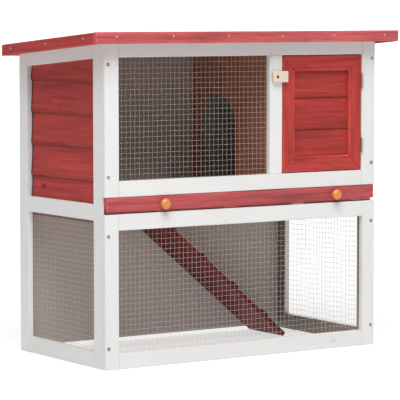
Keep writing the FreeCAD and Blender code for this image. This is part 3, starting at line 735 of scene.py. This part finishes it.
def lapped_slat(name, start, end, foot, head, face, lean, thickness, inward, ceiling=None):
    """A lapped slat: a leaning section with a rounded, proud lower edge, carried along its length.

    Section, with s from 0 at the foot to 1 at the head: the front lies face + lean * s behind the
    start line, the back a thickness further, and a half circle closes the foot. Along the length
    the faces and the foot drift by a fraction of a millimetre. A painted shade darkens the head
    under the lap above, the rounded foot a little, and the last 4.5 mm at the far end. start and end
    are the ends of the slat, inward is the unit vector into the hutch, and ceiling(points) limits
    the height, as under a slope.
    """
    generator = random_of(name)
    radius = thickness / 2
    lap = 1 - LAP / (head - foot)
    s = np.append(np.linspace(radius / (head - foot), lap - SHADE_FADE / (head - foot), 8), (lap, 1.0))
    round_foot = -np.linspace(0, 1, 7)[1:-1] * math.pi
    front = face + lean * s
    level = foot + (head - foot) * s
    under = front[0] + radius + radius * np.cos(round_foot)
    depth = np.concatenate([front, front[::-1] + thickness, under])
    height = np.concatenate([level, level[::-1], foot + radius + radius * np.sin(round_foot)])
    start, end = np.array(start, float), np.array(end, float)
    length = np.linalg.norm(end - start)
    t = np.append(np.linspace(0, 1 - 6 * MM / length, 20), (1 - END_SHADE / length, 1.0))
    line = start + np.multiply.outer(t, end - start)
    wave = drift(t, generator) * FACE_WANDER
    edge = drift(t * 2, generator) * FOOT_WANDER
    points = line[:, None, :] + (depth + wave[:, None])[..., None] * np.array(inward)
    share = 1 - np.clip((height - foot) / (head - foot), 0, 1)
    points[..., 2] = height + edge[:, None] * share
    if ceiling is not None:
        points[..., 2] = np.minimum(points[..., 2], ceiling(points))
    grain = np.stack(
        np.broadcast_arrays(t[:, None] * length, height[None, :] - foot, depth[None, :]), -1
    ) + pith(generator)
    # Painted shade weights: -1 on the head under the lap above, -0.4 on the rounded foot, -1.2 over the far
    # end.
    painted_shade = np.where((height > foot + LAP) & (height >= level[-2]), -1.0, -0.4 * (height <= level[0]))
    painted_shade = np.broadcast_to(painted_shade, grain.shape[:2]).copy()
    painted_shade[-2:] = -1.2
    return points, grain, painted_shade


def side_slats():
    """Five lapped slats in each side's frame."""
    for side, outside, inward in (("left", 0, 1.0), ("right", 1, -1.0)):
        low, high = corners(side + "_slats")
        mid_rail = corners(side + "_mid_rail")
        x = mid_rail[outside][0]
        first = mid_rail[1][2] + FIRST_SLAT_EDGE
        edges = [low[2]] + [first + k * SLAT_PITCH for k in range(4)] + [high[2] - LAP]
        fall = roof_fall()
        shells = []
        for index, (foot, head) in enumerate(zip(edges, edges[1:])):
            shells.append(
                lapped_slat(
                    f"{side} slat {index}",
                    (x, low[1], 0),
                    (x, high[1], 0),
                    foot,
                    head + LAP,
                    SLAT_RECESS,
                    SLAT_LEAN * (head + LAP - foot) / SLAT_HEIGHT,
                    SLAT_THICKNESS,
                    (inward, 0, 0),
                    lambda points: high[2] - fall * (points[..., 1] - low[1]),
                )
            )
        make_piece(side + "_slats_stained", side + "_slats", shells, "red stain on pine")


# Door


def mitred(low, along, frame_low, frame_high):
    """Warp that mitres a door member: its ends run back at 45 degrees towards the opening.

    With r the distance from the frame's outer edge, a point at share t of the length goes to
    r + t * (length - 2 r) from the corner.
    """
    across = 2 if along == 0 else 0
    from_low = abs(low[across] - frame_low[across]) < 1e-6
    start, length = frame_low[along], frame_high[along] - frame_low[along]

    def warp(points):
        if from_low:
            inset = points[..., across] - frame_low[across]
        else:
            inset = frame_high[across] - points[..., across]
        share = (points[..., along] - start) / length
        points[..., along] = start + inset + share * (length - 2 * inset)
        return points

    return warp


def door_frame():
    """Four mitred members with softened edges."""
    names = ("door_bottom_rail", "door_top_rail", "door_left_stile", "door_right_stile")
    places = [corners(name) for name in names]
    frame_low = np.min([low for low, _ in places], axis=0)
    frame_high = np.max([high for _, high in places], axis=0)
    for name, (low, high) in zip(names, places):
        along = 0 if name.endswith("rail") else 2
        mitre = mitred(low, along, frame_low, frame_high)
        shell = board(name, low, high, along, arris=DOOR_ARRIS, warp=mitre)
        make_piece(name + "_stained", name, [shell], "red stain on door", "door")


def door_slats():
    """Three lapped slats behind the door's frame."""
    low, high = corners("door_slats")
    edges = [low[2], *DOOR_SLAT_EDGES, high[2] - LAP]
    shells = []
    for index, (foot, head) in enumerate(zip(edges, edges[1:])):
        shells.append(
            lapped_slat(
                f"door slat {index}",
                (low[0], low[1], 0),
                (high[0], low[1], 0),
                foot,
                min(head + LAP, high[2]),
                DOOR_SLAT_RECESS,
                DOOR_SLAT_LEAN * (head - foot) / DOOR_SLAT_HEIGHT,
                DOOR_SLAT_THICKNESS,
                (0, 1, 0),
            )
        )
    make_piece("door_slats_stained", "door_slats", shells, "red stain on door slats", "door")


# Wire mesh


def wander(a, b, phase):
    """A smooth field over a mesh panel: sines across and up with the given phases, within about -1 to 1."""
    return 0.5 * (
        np.sin(a * 11 + phase[0]) * np.sin(b * 17 + phase[1])
        + 0.6 * np.sin(a * 29 + phase[2]) * np.sin(b * 23 + phase[3])
        + 0.35 * np.sin(a * 61 + 9 * b + phase[4])
    )


WIRE_SIDES = 6
LAYER_STEP = 0.85
IN_PLANE_SHARE = 0.6


def mesh_panel(node):
    """Welded square mesh: round upright wires outside, level wires against them inside.

    Every wire follows the same wandering fields over the panel, so the welds stay together. The
    fields fade to nothing out of plane at the stapled edges.
    """
    low, high = corners(node)
    wire, pitch, sag = sizes().wire, sizes().pitch, sizes().sag
    across = 0 if high[0] - low[0] > high[1] - low[1] else 1
    through = 1 - across
    inward = -1.0 if node.startswith("right") else 1.0
    outer = low[through] if inward > 0 else high[through]
    phases = random_of(node).uniform(0, TAU, (3, 5))
    columns = int(round((high[across] - low[across] - wire) / pitch))
    rows = int(round((high[2] - low[2] - wire) / pitch))
    a_lines = np.linspace(low[across] + wire / 2, high[across] - wire / 2, columns + 1)
    b_lines = np.linspace(low[2] + wire / 2, high[2] - wire / 2, rows + 1)

    def place(a, b, layer):
        rise = np.clip((a - low[across]) / (high[across] - low[across]), 0, 1)
        climb = np.clip((b - low[2]) / (high[2] - low[2]), 0, 1)
        slack = np.sin(rise * math.pi) * np.sin(climb * math.pi)
        points = np.empty(a.shape + (3,))
        points[..., across] = a + wander(a, b, phases[0]) * sag * IN_PLANE_SHARE
        points[..., 2] = b + wander(a, b, phases[1]) * sag * IN_PLANE_SHARE
        depth = wire * (0.5 + LAYER_STEP * layer) + (1 + wander(a, b, phases[2])) * slack * sag
        points[..., through] = outer + inward * depth
        return points

    unit = np.eye(3)
    fine_b = np.linspace(low[2], high[2], rows * 2 + 1)
    fine_a = np.linspace(low[across], high[across], columns * 2 + 1)
    a, b = np.meshgrid(a_lines, fine_b, indexing="ij")
    uprights = tube(place(a, b, 0), wire / 2, WIRE_SIDES, unit[across], unit[through])
    b, a = np.meshgrid(b_lines, fine_a, indexing="ij")
    levels = tube(place(a, b, 1), wire / 2, WIRE_SIDES, unit[2], unit[through])
    shells = [(points, points, np.zeros(points.shape[:2])) for points in (*uprights, *levels)]
    make_piece(node + "_wire", node, shells, "galvanised wire", flat_faces=False)


# Roof


def roof_pieces():
    """Fascias as softened boards, and felt that drapes a little over the deck's boards."""
    for node in ("roof_front_fascia", "roof_rear_fascia"):
        low, high = corners(node)
        shell = board(node, low, high, 0, arris=2.0 * MM, stations=24)
        make_piece(node + "_stained", node, [shell], "red stain on fascia")
    for node in ("roof_left_fascia", "roof_right_fascia"):
        low, high = corners(node)
        shell = board(node, low, high, 1, arris=2.0 * MM, warp=sloped(low, high))
        make_piece(node + "_stained", node, [shell], "red stain on pine")
    finish_nodes("brown plywood level", "roof_deck")
    roof_felt()


def roof_felt():
    """Felt over the deck, with the deck's board joints and its own lap showing as soft ridges.

    Height = the roof's plane + a slow swell of 0.3 mm either way - a 0.4 mm dip at each board joint,
    with joints 90 mm apart, + 0.8 mm behind the lap line 0.3 m from the front - 0.5 mm.
    """
    low, high = corners("roof_felt")
    generator = random_of("felt")
    across = np.linspace(low[0], high[0], 120)
    back = np.linspace(low[1], high[1], 90)
    x, y = np.meshgrid(across, back, indexing="ij")
    top = high[2] - roof_fall() * (y - low[1])
    phase = generator.uniform(0, TAU, 2)
    swell = 0.3 * MM * np.sin(x * 9 + phase[0]) * np.sin(y * 14 + phase[1])
    joints = np.exp(-(((y - low[1]) % 0.09 - 0.045) / 0.004) ** 2) * 0.4 * MM
    lap = 0.8 * MM / (1 + np.exp(-((low[1] + 0.3) - y) / 0.0008))
    upper = np.stack([x, y, top + swell - joints + lap - 0.5 * MM], -1)
    lower = np.stack([x, y, top - 3.0 * MM], -1)
    ring = np.concatenate([upper, lower[:, ::-1]], axis=1)
    shell = (ring, ring, np.zeros(ring.shape[:2]))
    make_piece("roof_felt_laid", "roof_felt", [shell], "mineral roofing felt")


# Boards inside


def inner_boards():
    """Back board, partition and battens keep their shapes, and the runners get softened edges."""
    finish_nodes("grey-brown back board", "back_board")
    finish_nodes("brown plywood upright", "partition", "partition_battens")
    tray_runners()


# Tray


NOTCH = (13 * MM, 6 * MM)
EDGE_WANDER = 0.6 * MM
# Height of the painted shade along the tray front's lower edge.
SHADE_EDGE = 2.2 * MM


def tray_front():
    """The tray's front board, with ragged long edges and a notch sawn out of its lower right corner.

    Warp: each long edge wanders by up to EDGE_WANDER, and where x is past the notch the lower edge
    rises by the notch's height within a tenth of a millimetre. A painted shade darkens the lower edge.
    """
    low, high = corners("tray_front")
    start = high[0] - NOTCH[0]

    def saw(points):
        t = (points[..., 0] - low[0]) / (high[0] - low[0])
        share = np.clip((points[..., 2] - low[2]) / (high[2] - low[2]), 0, 1)
        edges = np.random.default_rng(random_of("tray front edges").integers(1000))
        upper = drift(t * 4, edges) * EDGE_WANDER * share
        lower = drift(t * 5, edges) * EDGE_WANDER * (1 - share)
        cut = (points[..., 0] > start) * NOTCH[1] * (1 - share)
        points[..., 2] += upper + lower + cut
        return points

    shell = board(
        "tray_front",
        low,
        high,
        0,
        arris=2.0 * MM,
        wobble=0.3 * MM,
        warp=saw,
        stations=90,
        extra=(start - 0.1 * MM, start + 0.1 * MM),
    )
    points, grain, arris = shell
    # Painted shade along the lower edge: weight -1 there.
    arris = np.where(points[..., 2] < low[2] + SHADE_EDGE, -1.0, arris)
    shell = (points, grain, arris)
    make_piece("tray_front_stained", "tray_front", [shell], "red stain on tray", "tray")
    finish_nodes("brown plywood level", "tray_floor", "tray_sides", "tray_rear", "tray_hatch_curb")
    finish_nodes("blackened screw steel", "tray_knob_screws")


STEM = 8 * MM
WAIST = 1.4 * MM
STEM_LENGTH = 7.5 * MM
SHOULDER = 5 * MM
DOME = 8.5 * MM


def knob_profile(head):
    """Radius and height of a turned pull: a waisted stem, a rounded shoulder and a domed head."""
    turn = np.linspace(0, 1, 9)
    stem = np.stack([STEM - WAIST * np.sin(math.pi * turn), STEM_LENGTH * turn], -1)
    quarter = turn[1:] * math.pi / 2
    rise = STEM_LENGTH + SHOULDER * (1 - np.cos(quarter))
    under = np.stack([STEM + (head - STEM) * np.sin(quarter), rise], -1)
    quarter = quarter[:-1]
    dome = np.stack([head * np.cos(quarter), STEM_LENGTH + SHOULDER + DOME * np.sin(quarter)], -1)
    return np.vstack([stem, under, dome, [(0.2 * MM, STEM_LENGTH + SHOULDER + DOME)]])


def tray_pulls():
    """Two turned pulls on the tray front."""
    low, high = corners("tray_knobs")
    radius = (high[2] - low[2]) / 2
    shells = []
    for x in (low[0] + radius, high[0] - radius):
        foot = (x, high[1], (low[2] + high[2]) / 2)
        shells.append(lathe(knob_profile(radius), foot, (0, -1, 0), 40))
    make_piece("tray_pulls", "tray_knobs", shells, "lacquered birch", "tray", False)


# Ramp


RAMP_SLOPE = math.radians(39.8)
RAMP_THICKNESS = 12 * MM
CLEAT = (20 * MM, 6 * MM)
CLEAT_PITCH = 125 * MM
FIRST_CLEAT = 75 * MM
CLEAT_COUNT = 4
RUNNER_WIDTH = 15 * MM


def ramp_boards():
    """Plank and cleats, planed level and then tipped onto the ramp's slope, and a level bearer.

    Level, the foot is at x = 0 and the plank runs to negative x. Tipped by the angle a, a point
    (x, z) goes to (foot + x cos a + z sin a, z cos a - x sin a). The plank's upper end is cut upright.
    """
    low, high = corners("ramp_board")
    slope = (math.cos(RAMP_SLOPE), math.sin(RAMP_SLOPE))
    foot = high[0] - RAMP_THICKNESS * slope[1]
    length = (foot - low[0]) / slope[0]

    def tip(points):
        x, z = points[..., 0].copy(), points[..., 2].copy()
        points[..., 0] = foot + x * slope[0] + z * slope[1]
        points[..., 2] = low[2] + z * slope[0] - x * slope[1]
        return points

    def cut_and_tip(points):
        points[..., 0] *= 1 + points[..., 2] * slope[1] / slope[0] / length
        return tip(points)

    ends = (-length, low[1], 0), (0, high[1], RAMP_THICKNESS)
    plank = board("ramp plank", *ends, 0, wobble=0.6 * MM, warp=cut_and_tip)
    make_piece("ramp_plank", "ramp_board", [plank], "red stain on ramp")
    cleats = []
    for index in range(CLEAT_COUNT):
        end = -FIRST_CLEAT - CLEAT_PITCH * index
        cleats.append(
            board(
                f"ramp cleat {index}",
                (end - CLEAT[0], low[1], RAMP_THICKNESS - 0.2 * MM),
                (end, high[1], RAMP_THICKNESS + CLEAT[1]),
                1,
                arris=1.5 * MM,
                warp=tip,
            )
        )
    make_piece("ramp_cleats_stained", "ramp_cleats", cleats, "red stain on ramp")
    bearer = board("ramp bearer", *corners("ramp_bearer"), 1)
    make_piece("ramp_bearer_stained", "ramp_bearer", [bearer], "red stain on ramp")


def tray_runners():
    """Two battens inside the side frames that the tray slides on."""
    low, high = corners("tray_runners")
    left = board("left runner", low, (low[0] + RUNNER_WIDTH, high[1], high[2]), 1)
    right = board("right runner", (high[0] - RUNNER_WIDTH, low[1], low[2]), high, 1)
    make_piece("tray_runners_stained", "tray_runners", [left, right], "red stain on ramp")


# Fasteners


def cross_head(points, grain, top, slot_width, slot_reach, depth, direction):
    """Sinks a cross recess into the rings from top on.

    With u and v across the head, each arm sinks where |v| is within half the slot's width and |u|
    within its reach, by a depth that fades out towards the arm's end.
    """
    u, v = grain[top:, :, 1], grain[top:, :, 2]

    def arm(along, across):
        width = np.clip((slot_width / 2 + 0.15 * MM - np.abs(across)) / (0.25 * MM), 0, 1)
        return width * np.clip((slot_reach - np.abs(along)) / (slot_reach * 0.6), 0, 1)

    sink = np.maximum(arm(u, v), arm(v, u)) * depth
    points[top:] -= sink[..., None] * np.array(direction)
    return points


def screw(place, out, radius, length, dome):
    """A wood screw with a cross recess: tip, shank, cone under the head, rim, and a slightly domed face."""
    shank = radius * 0.45
    under = radius - shank
    body = [
        (0.1 * MM, -length),
        (shank, -length + 5 * MM),
        (shank, -under - 0.3 * MM),
        (radius, -0.3 * MM),
        (radius, 0.2 * MM),
    ]
    rings = np.linspace(0.93, 0.03, 11)
    face = [(radius * share, 0.2 * MM + dome * (1 - share**2)) for share in rings]
    points, grain, corner = lathe(body + face, place, out, 32)
    cross_head(points, grain, len(body) + 1, radius * 0.32, radius * 0.68, radius * 0.5, out)
    return points, grain, corner


def nail(place, out, length):
    """A wire nail with a flat head that has a soft rim."""
    profile = [
        (0.1, -length / MM),
        (1.2, -length / MM + 3),
        (1.2, -0.5),
        (2.5, -0.4),
        (2.6, 0.1),
        (2.35, 0.45),
        (1.2, 0.6),
        (0.1, 0.62),
    ]
    return lathe([(radius * MM, height * MM) for radius, height in profile], place, out, 16)


SCREW_RADIUS = 4.2 * MM
SCREW_INSET = 10 * MM
NAIL_LENGTH = 32 * MM
RAMP_NAIL_LENGTH = 40 * MM
NAIL_DROP = 11.5 * MM
REAR_NAIL_DROP = 9.5 * MM
LEFT_SCREW_LEVELS = (51 * MM, 320 * MM, 461 * MM, 729 * MM)
RIGHT_SCREW_LEVELS = (51 * MM, 320 * MM, 469 * MM, 735 * MM)
ROOF_SCREW_PLACES = (100 * MM, 330 * MM)
NAIL_MIDDLE = 6 * MM
NAIL_PITCH = 159.6 * MM
SIDE_NAIL_PLACES = (21 * MM, 200 * MM, 371 * MM)


def wood_screws():
    """Eight screws in the front panels and four through the roof."""
    front = corners("front_lower_left_stile")[0][1]
    felt_low, felt_high = corners("roof_felt")
    shells = []
    edge = corners("front_lower_left_stile")[0][0]
    for x, levels in ((edge + SCREW_INSET, LEFT_SCREW_LEVELS), (-edge - SCREW_INSET, RIGHT_SCREW_LEVELS)):
        for z in levels:
            shells.append(screw((x, front, z), (0, -1, 0), SCREW_RADIUS, 38 * MM, 0.2 * MM))
    board_edge = corners("left_mid_rail")
    for x in ((board_edge[0][0] + board_edge[1][0]) / 2, -(board_edge[0][0] + board_edge[1][0]) / 2):
        for y in ROOF_SCREW_PLACES:
            z = felt_high[2] - roof_fall() * (front + y - felt_low[1])
            shells.append(screw((x, front + y, z), (0, 0, 1), SCREW_RADIUS, 42 * MM, 0.3 * MM))
    steel = "blackened screw steel"
    make_piece("wood_screws_driven", "wood_screws", shells, steel, flat_faces=False)


def wire_nails():
    """Nails in the four fascias, and two through the ramp's bearer."""
    front_low, front_high = corners("roof_front_fascia")
    _, rear_high = corners("roof_rear_fascia")
    face = corners("front_lower_left_stile")[0][1]
    shells = []
    for index in range(6):
        x = NAIL_MIDDLE + NAIL_PITCH * (index - 2.5)
        shells.append(nail((x, front_low[1], front_high[2] - NAIL_DROP), (0, -1, 0), NAIL_LENGTH))
        shells.append(nail((x, rear_high[1], rear_high[2] - REAR_NAIL_DROP), (0, 1, 0), NAIL_LENGTH))
    for y in SIDE_NAIL_PLACES:
        z = front_high[2] - roof_fall() * (face + y - front_low[1]) - NAIL_DROP
        shells.append(nail((front_low[0], face + y, z), (-1, 0, 0), NAIL_LENGTH))
        shells.append(nail((front_high[0], face + y, z), (1, 0, 0), NAIL_LENGTH))
    bearer_low, bearer_high = corners("ramp_bearer")
    ramp_low, ramp_high = corners("ramp_board")
    slant = math.radians(20)
    for inset in (35 * MM, -35 * MM):
        place = (bearer_low[0], (ramp_low[1] + ramp_high[1]) / 2 + inset, bearer_high[2] - 5 * MM)
        shells.append(nail(place, (-math.cos(slant), 0, math.sin(slant)), RAMP_NAIL_LENGTH))
    make_piece("wire_nails_driven", "wire_nails", shells, "bright nail steel", flat_faces=False)


def small_metal():
    """Staples and hinges keep their shapes and take their metals."""
    parts = ("frame_leaves", "door_leaves", "pins", "frame_screws", "door_screws")
    finish_nodes("zinc plated steel", "staples", *("hinge_" + part for part in parts))


# Turn button


def button_outline(low, high, tail_radius, head_radius):
    """Outline of the turn button, counterclockwise from below, with its normals.

    Its corners are quarter circles, large at the tail and small at the head.
    """
    outline, normals = [], []
    for quarter, radius in enumerate((head_radius, head_radius, tail_radius, tail_radius)):
        quarter = (quarter + 3) % 4
        angle = (quarter + np.linspace(0, 1, 9)) * math.pi / 2
        facing = np.stack([np.cos(angle), np.sin(angle)], -1)
        x = high[0] - radius if quarter in (0, 3) else low[0] + radius
        z = high[1] - radius if quarter < 2 else low[1] + radius
        outline.append(np.array([x, z]) + radius * facing)
        normals.append(facing)
    return np.vstack(outline), np.vstack(normals)


def turn_button():
    """Turned-over wooden block with a rounded tail and eased edges, and the screw it turns on.

    The outline shrinks along its normals by arris * (1 - sin a) over the first and last arris of
    the thickness, as a hand-sanded edge does.
    """
    low, high = corners("turn_button")
    outline, normals = button_outline((low[0], low[2]), (high[0], high[2]), 6 * MM, 2 * MM)
    arris = 2.2 * MM
    turn = np.linspace(0.05, 1, 6) * math.pi / 2
    inset = arris * (1 - np.sin(turn))
    near = arris * (1 - np.cos(turn))
    thickness = high[1] - low[1]
    reach = np.concatenate([near, thickness - near[::-1]])
    insets = np.concatenate([inset, inset[::-1]])
    flat = outline - insets[:, None, None] * normals
    depth = np.broadcast_to(low[1] + reach[:, None], flat.shape[:2])
    points = np.stack([flat[..., 0], depth, flat[..., 1]], -1)
    grain = np.stack([points[..., 0], points[..., 2], points[..., 1]], -1)
    arris_weight = np.broadcast_to((insets > 0).astype(float)[:, None], flat.shape[:2])
    shell = (points, grain, arris_weight)
    make_piece("turn_button_sanded", "turn_button", [shell], "bare birch", "turn_button")
    screw_low, screw_high = corners("turn_button_screw")
    place = ((screw_low[0] + screw_high[0]) / 2, low[1] - 0.4 * MM, (screw_low[2] + screw_high[2]) / 2)
    driven = screw(place, (0, -1, 0), 3.6 * MM, screw_high[1] - low[1], 1.5 * MM)
    make_piece(
        "turn_button_screw_driven",
        "turn_button_screw",
        [driven],
        "blackened screw steel",
        flat_faces=False,
    )


# Stage


CAMERA_OFFSET = (-2.881, -4.716, 0.859)
CAMERA_HEADING = 0.5892
CAMERA_PITCH = 0.0814
CAMERA_LENS = 210.4
WORLD_STRENGTH = 0.26
SOFT_BOX_WATTS = 212.0
SOFT_BOX_SIZE = 2.8
SOFT_BOX_PLACE = (-1.25, -2.2, 4.1)
BACKDROP_WATTS = 260.0
BACKDROP_LIGHT_DISTANCE = 5.5
BACKDROP_LIGHT_HEIGHT = 4.0
BACKDROP_LIGHT_SIZE = 7.0
BACKDROP_DISTANCE = 9.0
BACKDROP_HALF = 4.0
BACKDROP_HEIGHT = 3.0
FLOOR_HALF = 12.0


def stage_sheet(name, corners_of_sheet, material):
    """A flat stage piece through four corners."""
    mesh = bpy.data.meshes.new(name)
    mesh.from_pydata(corners_of_sheet, [], [(0, 1, 2, 3)])
    sheet = bpy.data.objects.new(name, mesh)
    bpy.context.scene.collection.objects.link(sheet)
    mesh.materials.append(material)


def soft_box(name, place, target, size, watts):
    """A square area light aimed at a point."""
    light = bpy.data.lights.new(name, "AREA")
    light.shape = "SQUARE"
    light.size = size
    light.energy = watts
    lamp = bpy.data.objects.new(name, light)
    lamp.location = place
    lamp.rotation_euler = (Vector(target) - lamp.location).to_track_quat("-Z", "Y").to_euler()
    bpy.context.scene.collection.objects.link(lamp)


def studio():
    """Pale floor and backdrop, dim surroundings, a soft box high at the front left, and the camera."""
    scene = bpy.context.scene
    low, _ = CAD_BOX
    corner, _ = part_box("front_lower_left_stile")
    level = math.cos(CAMERA_PITCH)
    heading = (math.sin(CAMERA_HEADING) * level, math.cos(CAMERA_HEADING) * level)
    gaze = Vector((*heading, -math.sin(CAMERA_PITCH)))
    ground = low.z - 0.5 * MM
    square = [(x * FLOOR_HALF, y * FLOOR_HALF, ground) for x, y in ((-1, -1), (1, -1), (1, 1), (-1, 1))]
    stage_sheet("studio_floor", square, finish("studio floor"))
    ahead = Vector((gaze.x, gaze.y, 0)).normalized()
    beside = Vector((ahead.y, -ahead.x, 0)) * BACKDROP_HALF
    foot = ahead * BACKDROP_DISTANCE + Vector((0, 0, ground))
    top = foot + Vector((0, 0, BACKDROP_HEIGHT))
    wall = [foot - beside, foot + beside, top + beside, top - beside]
    stage_sheet("studio_backdrop", [tuple(place) for place in wall], finish("studio backdrop"))

    world = bpy.data.worlds.new("dim surroundings")
    world.use_nodes = True
    background = world.node_tree.nodes["Background"]
    background.inputs["Color"].default_value = (1.0, 1.0, 1.0, 1.0)
    background.inputs["Strength"].default_value = WORLD_STRENGTH
    scene.world = world

    soft_box("soft box", SOFT_BOX_PLACE, (0, 0, 0.4), SOFT_BOX_SIZE, SOFT_BOX_WATTS)
    behind = ahead * BACKDROP_LIGHT_DISTANCE
    above = (behind.x, behind.y, BACKDROP_LIGHT_HEIGHT)
    soft_box("backdrop light", above, (behind.x, behind.y, 0), BACKDROP_LIGHT_SIZE, BACKDROP_WATTS)

    camera = bpy.data.cameras.new("camera")
    camera.lens = CAMERA_LENS
    camera.sensor_width = 36.0
    eye = bpy.data.objects.new("camera", camera)
    eye.location = Vector((corner.x, corner.y, low.z)) + Vector(CAMERA_OFFSET)
    eye.rotation_euler = gaze.to_track_quat("-Z", "Y").to_euler()
    scene.collection.objects.link(eye)
    scene.camera = eye
    scene.view_settings.view_transform = "Standard"


# Operators, panel and registration


class HUTCH_OT_stage(bpy.types.Operator):
    """Makes the floor, surroundings, light and camera."""

    bl_idname = "hutch.stage"
    bl_label = "Stage"

    def execute(self, context):
        studio()
        return {"FINISHED"}


class HUTCH_OT_frames(bpy.types.Operator):
    """Makes the white front and side frames."""

    bl_idname = "hutch.frames"
    bl_label = "White frames"

    def execute(self, context):
        front_frames()
        side_frames()
        return {"FINISHED"}


class HUTCH_OT_slats(bpy.types.Operator):
    """Makes the red slats of both sides."""

    bl_idname = "hutch.slats"
    bl_label = "Side slats"

    def execute(self, context):
        side_slats()
        return {"FINISHED"}


class HUTCH_OT_door(bpy.types.Operator):
    """Makes the door's frame and slats, and the turn button with its screw."""

    bl_idname = "hutch.door"
    bl_label = "Door"

    def execute(self, context):
        door_frame()
        door_slats()
        turn_button()
        return {"FINISHED"}


class HUTCH_OT_mesh(bpy.types.Operator):
    """Makes the four wire mesh panels."""

    bl_idname = "hutch.mesh"
    bl_label = "Wire mesh"

    def execute(self, context):
        for node in ("window_mesh", "front_lower_mesh", "left_mesh", "right_mesh"):
            mesh_panel(node)
        return {"FINISHED"}


class HUTCH_OT_roof(bpy.types.Operator):
    """Makes the fascias and felt, and finishes the deck."""

    bl_idname = "hutch.roof"
    bl_label = "Roof"

    def execute(self, context):
        roof_pieces()
        return {"FINISHED"}


class HUTCH_OT_inside(bpy.types.Operator):
    """Finishes the back board, the partition and the battens, and makes the tray's runners."""

    bl_idname = "hutch.inside"
    bl_label = "Inner boards"

    def execute(self, context):
        inner_boards()
        return {"FINISHED"}


class HUTCH_OT_tray(bpy.types.Operator):
    """Makes the tray's front and pulls, and finishes the rest of the tray."""

    bl_idname = "hutch.tray"
    bl_label = "Tray"

    def execute(self, context):
        tray_front()
        tray_pulls()
        return {"FINISHED"}


class HUTCH_OT_ramp(bpy.types.Operator):
    """Makes the ramp's plank, cleats and bearer."""

    bl_idname = "hutch.ramp"
    bl_label = "Ramp"

    def execute(self, context):
        ramp_boards()
        return {"FINISHED"}


class HUTCH_OT_fasteners(bpy.types.Operator):
    """Makes the screws and nails, and finishes the staples and hinges."""

    bl_idname = "hutch.fasteners"
    bl_label = "Fasteners"

    def execute(self, context):
        wood_screws()
        wire_nails()
        small_metal()
        return {"FINISHED"}


OPERATORS = (
    HUTCH_OT_stage,
    HUTCH_OT_frames,
    HUTCH_OT_slats,
    HUTCH_OT_door,
    HUTCH_OT_mesh,
    HUTCH_OT_roof,
    HUTCH_OT_inside,
    HUTCH_OT_tray,
    HUTCH_OT_ramp,
    HUTCH_OT_fasteners,
)


class HUTCH_PT_panel(bpy.types.Panel):
    """Lists the hutch's pieces, sizes and colours."""

    bl_label = "Hutch"
    bl_idname = "HUTCH_PT_panel"
    bl_space_type = "VIEW_3D"
    bl_region_type = "UI"
    bl_category = "Hutch"

    def draw(self, context):
        layout = self.layout
        for operator in OPERATORS:
            layout.operator(operator.bl_idname)
        for group in (context.scene.hutch_sizes, context.scene.hutch_colours):
            for name in group.bl_rna.properties.keys():
                if name not in ("rna_type", "name"):
                    layout.prop(group, name)


CLASSES = (HutchSizes, HutchColours, *OPERATORS, HUTCH_PT_panel)


def register():
    """Registers the classes and hangs the settings on the scene."""
    for cls in CLASSES:
        bpy.utils.register_class(cls)
    bpy.types.Scene.hutch_sizes = PointerProperty(type=HutchSizes)
    bpy.types.Scene.hutch_colours = PointerProperty(type=HutchColours)


def unregister():
    """Takes the settings and the classes away."""
    del bpy.types.Scene.hutch_sizes
    del bpy.types.Scene.hutch_colours
    for cls in reversed(CLASSES):
        bpy.utils.unregister_class(cls)


def main():
    register()
    for operator in OPERATORS:
        category, name = operator.bl_idname.split(".")
        getattr(getattr(bpy.ops, category), name)()


if __name__ == "__main__":
    main()
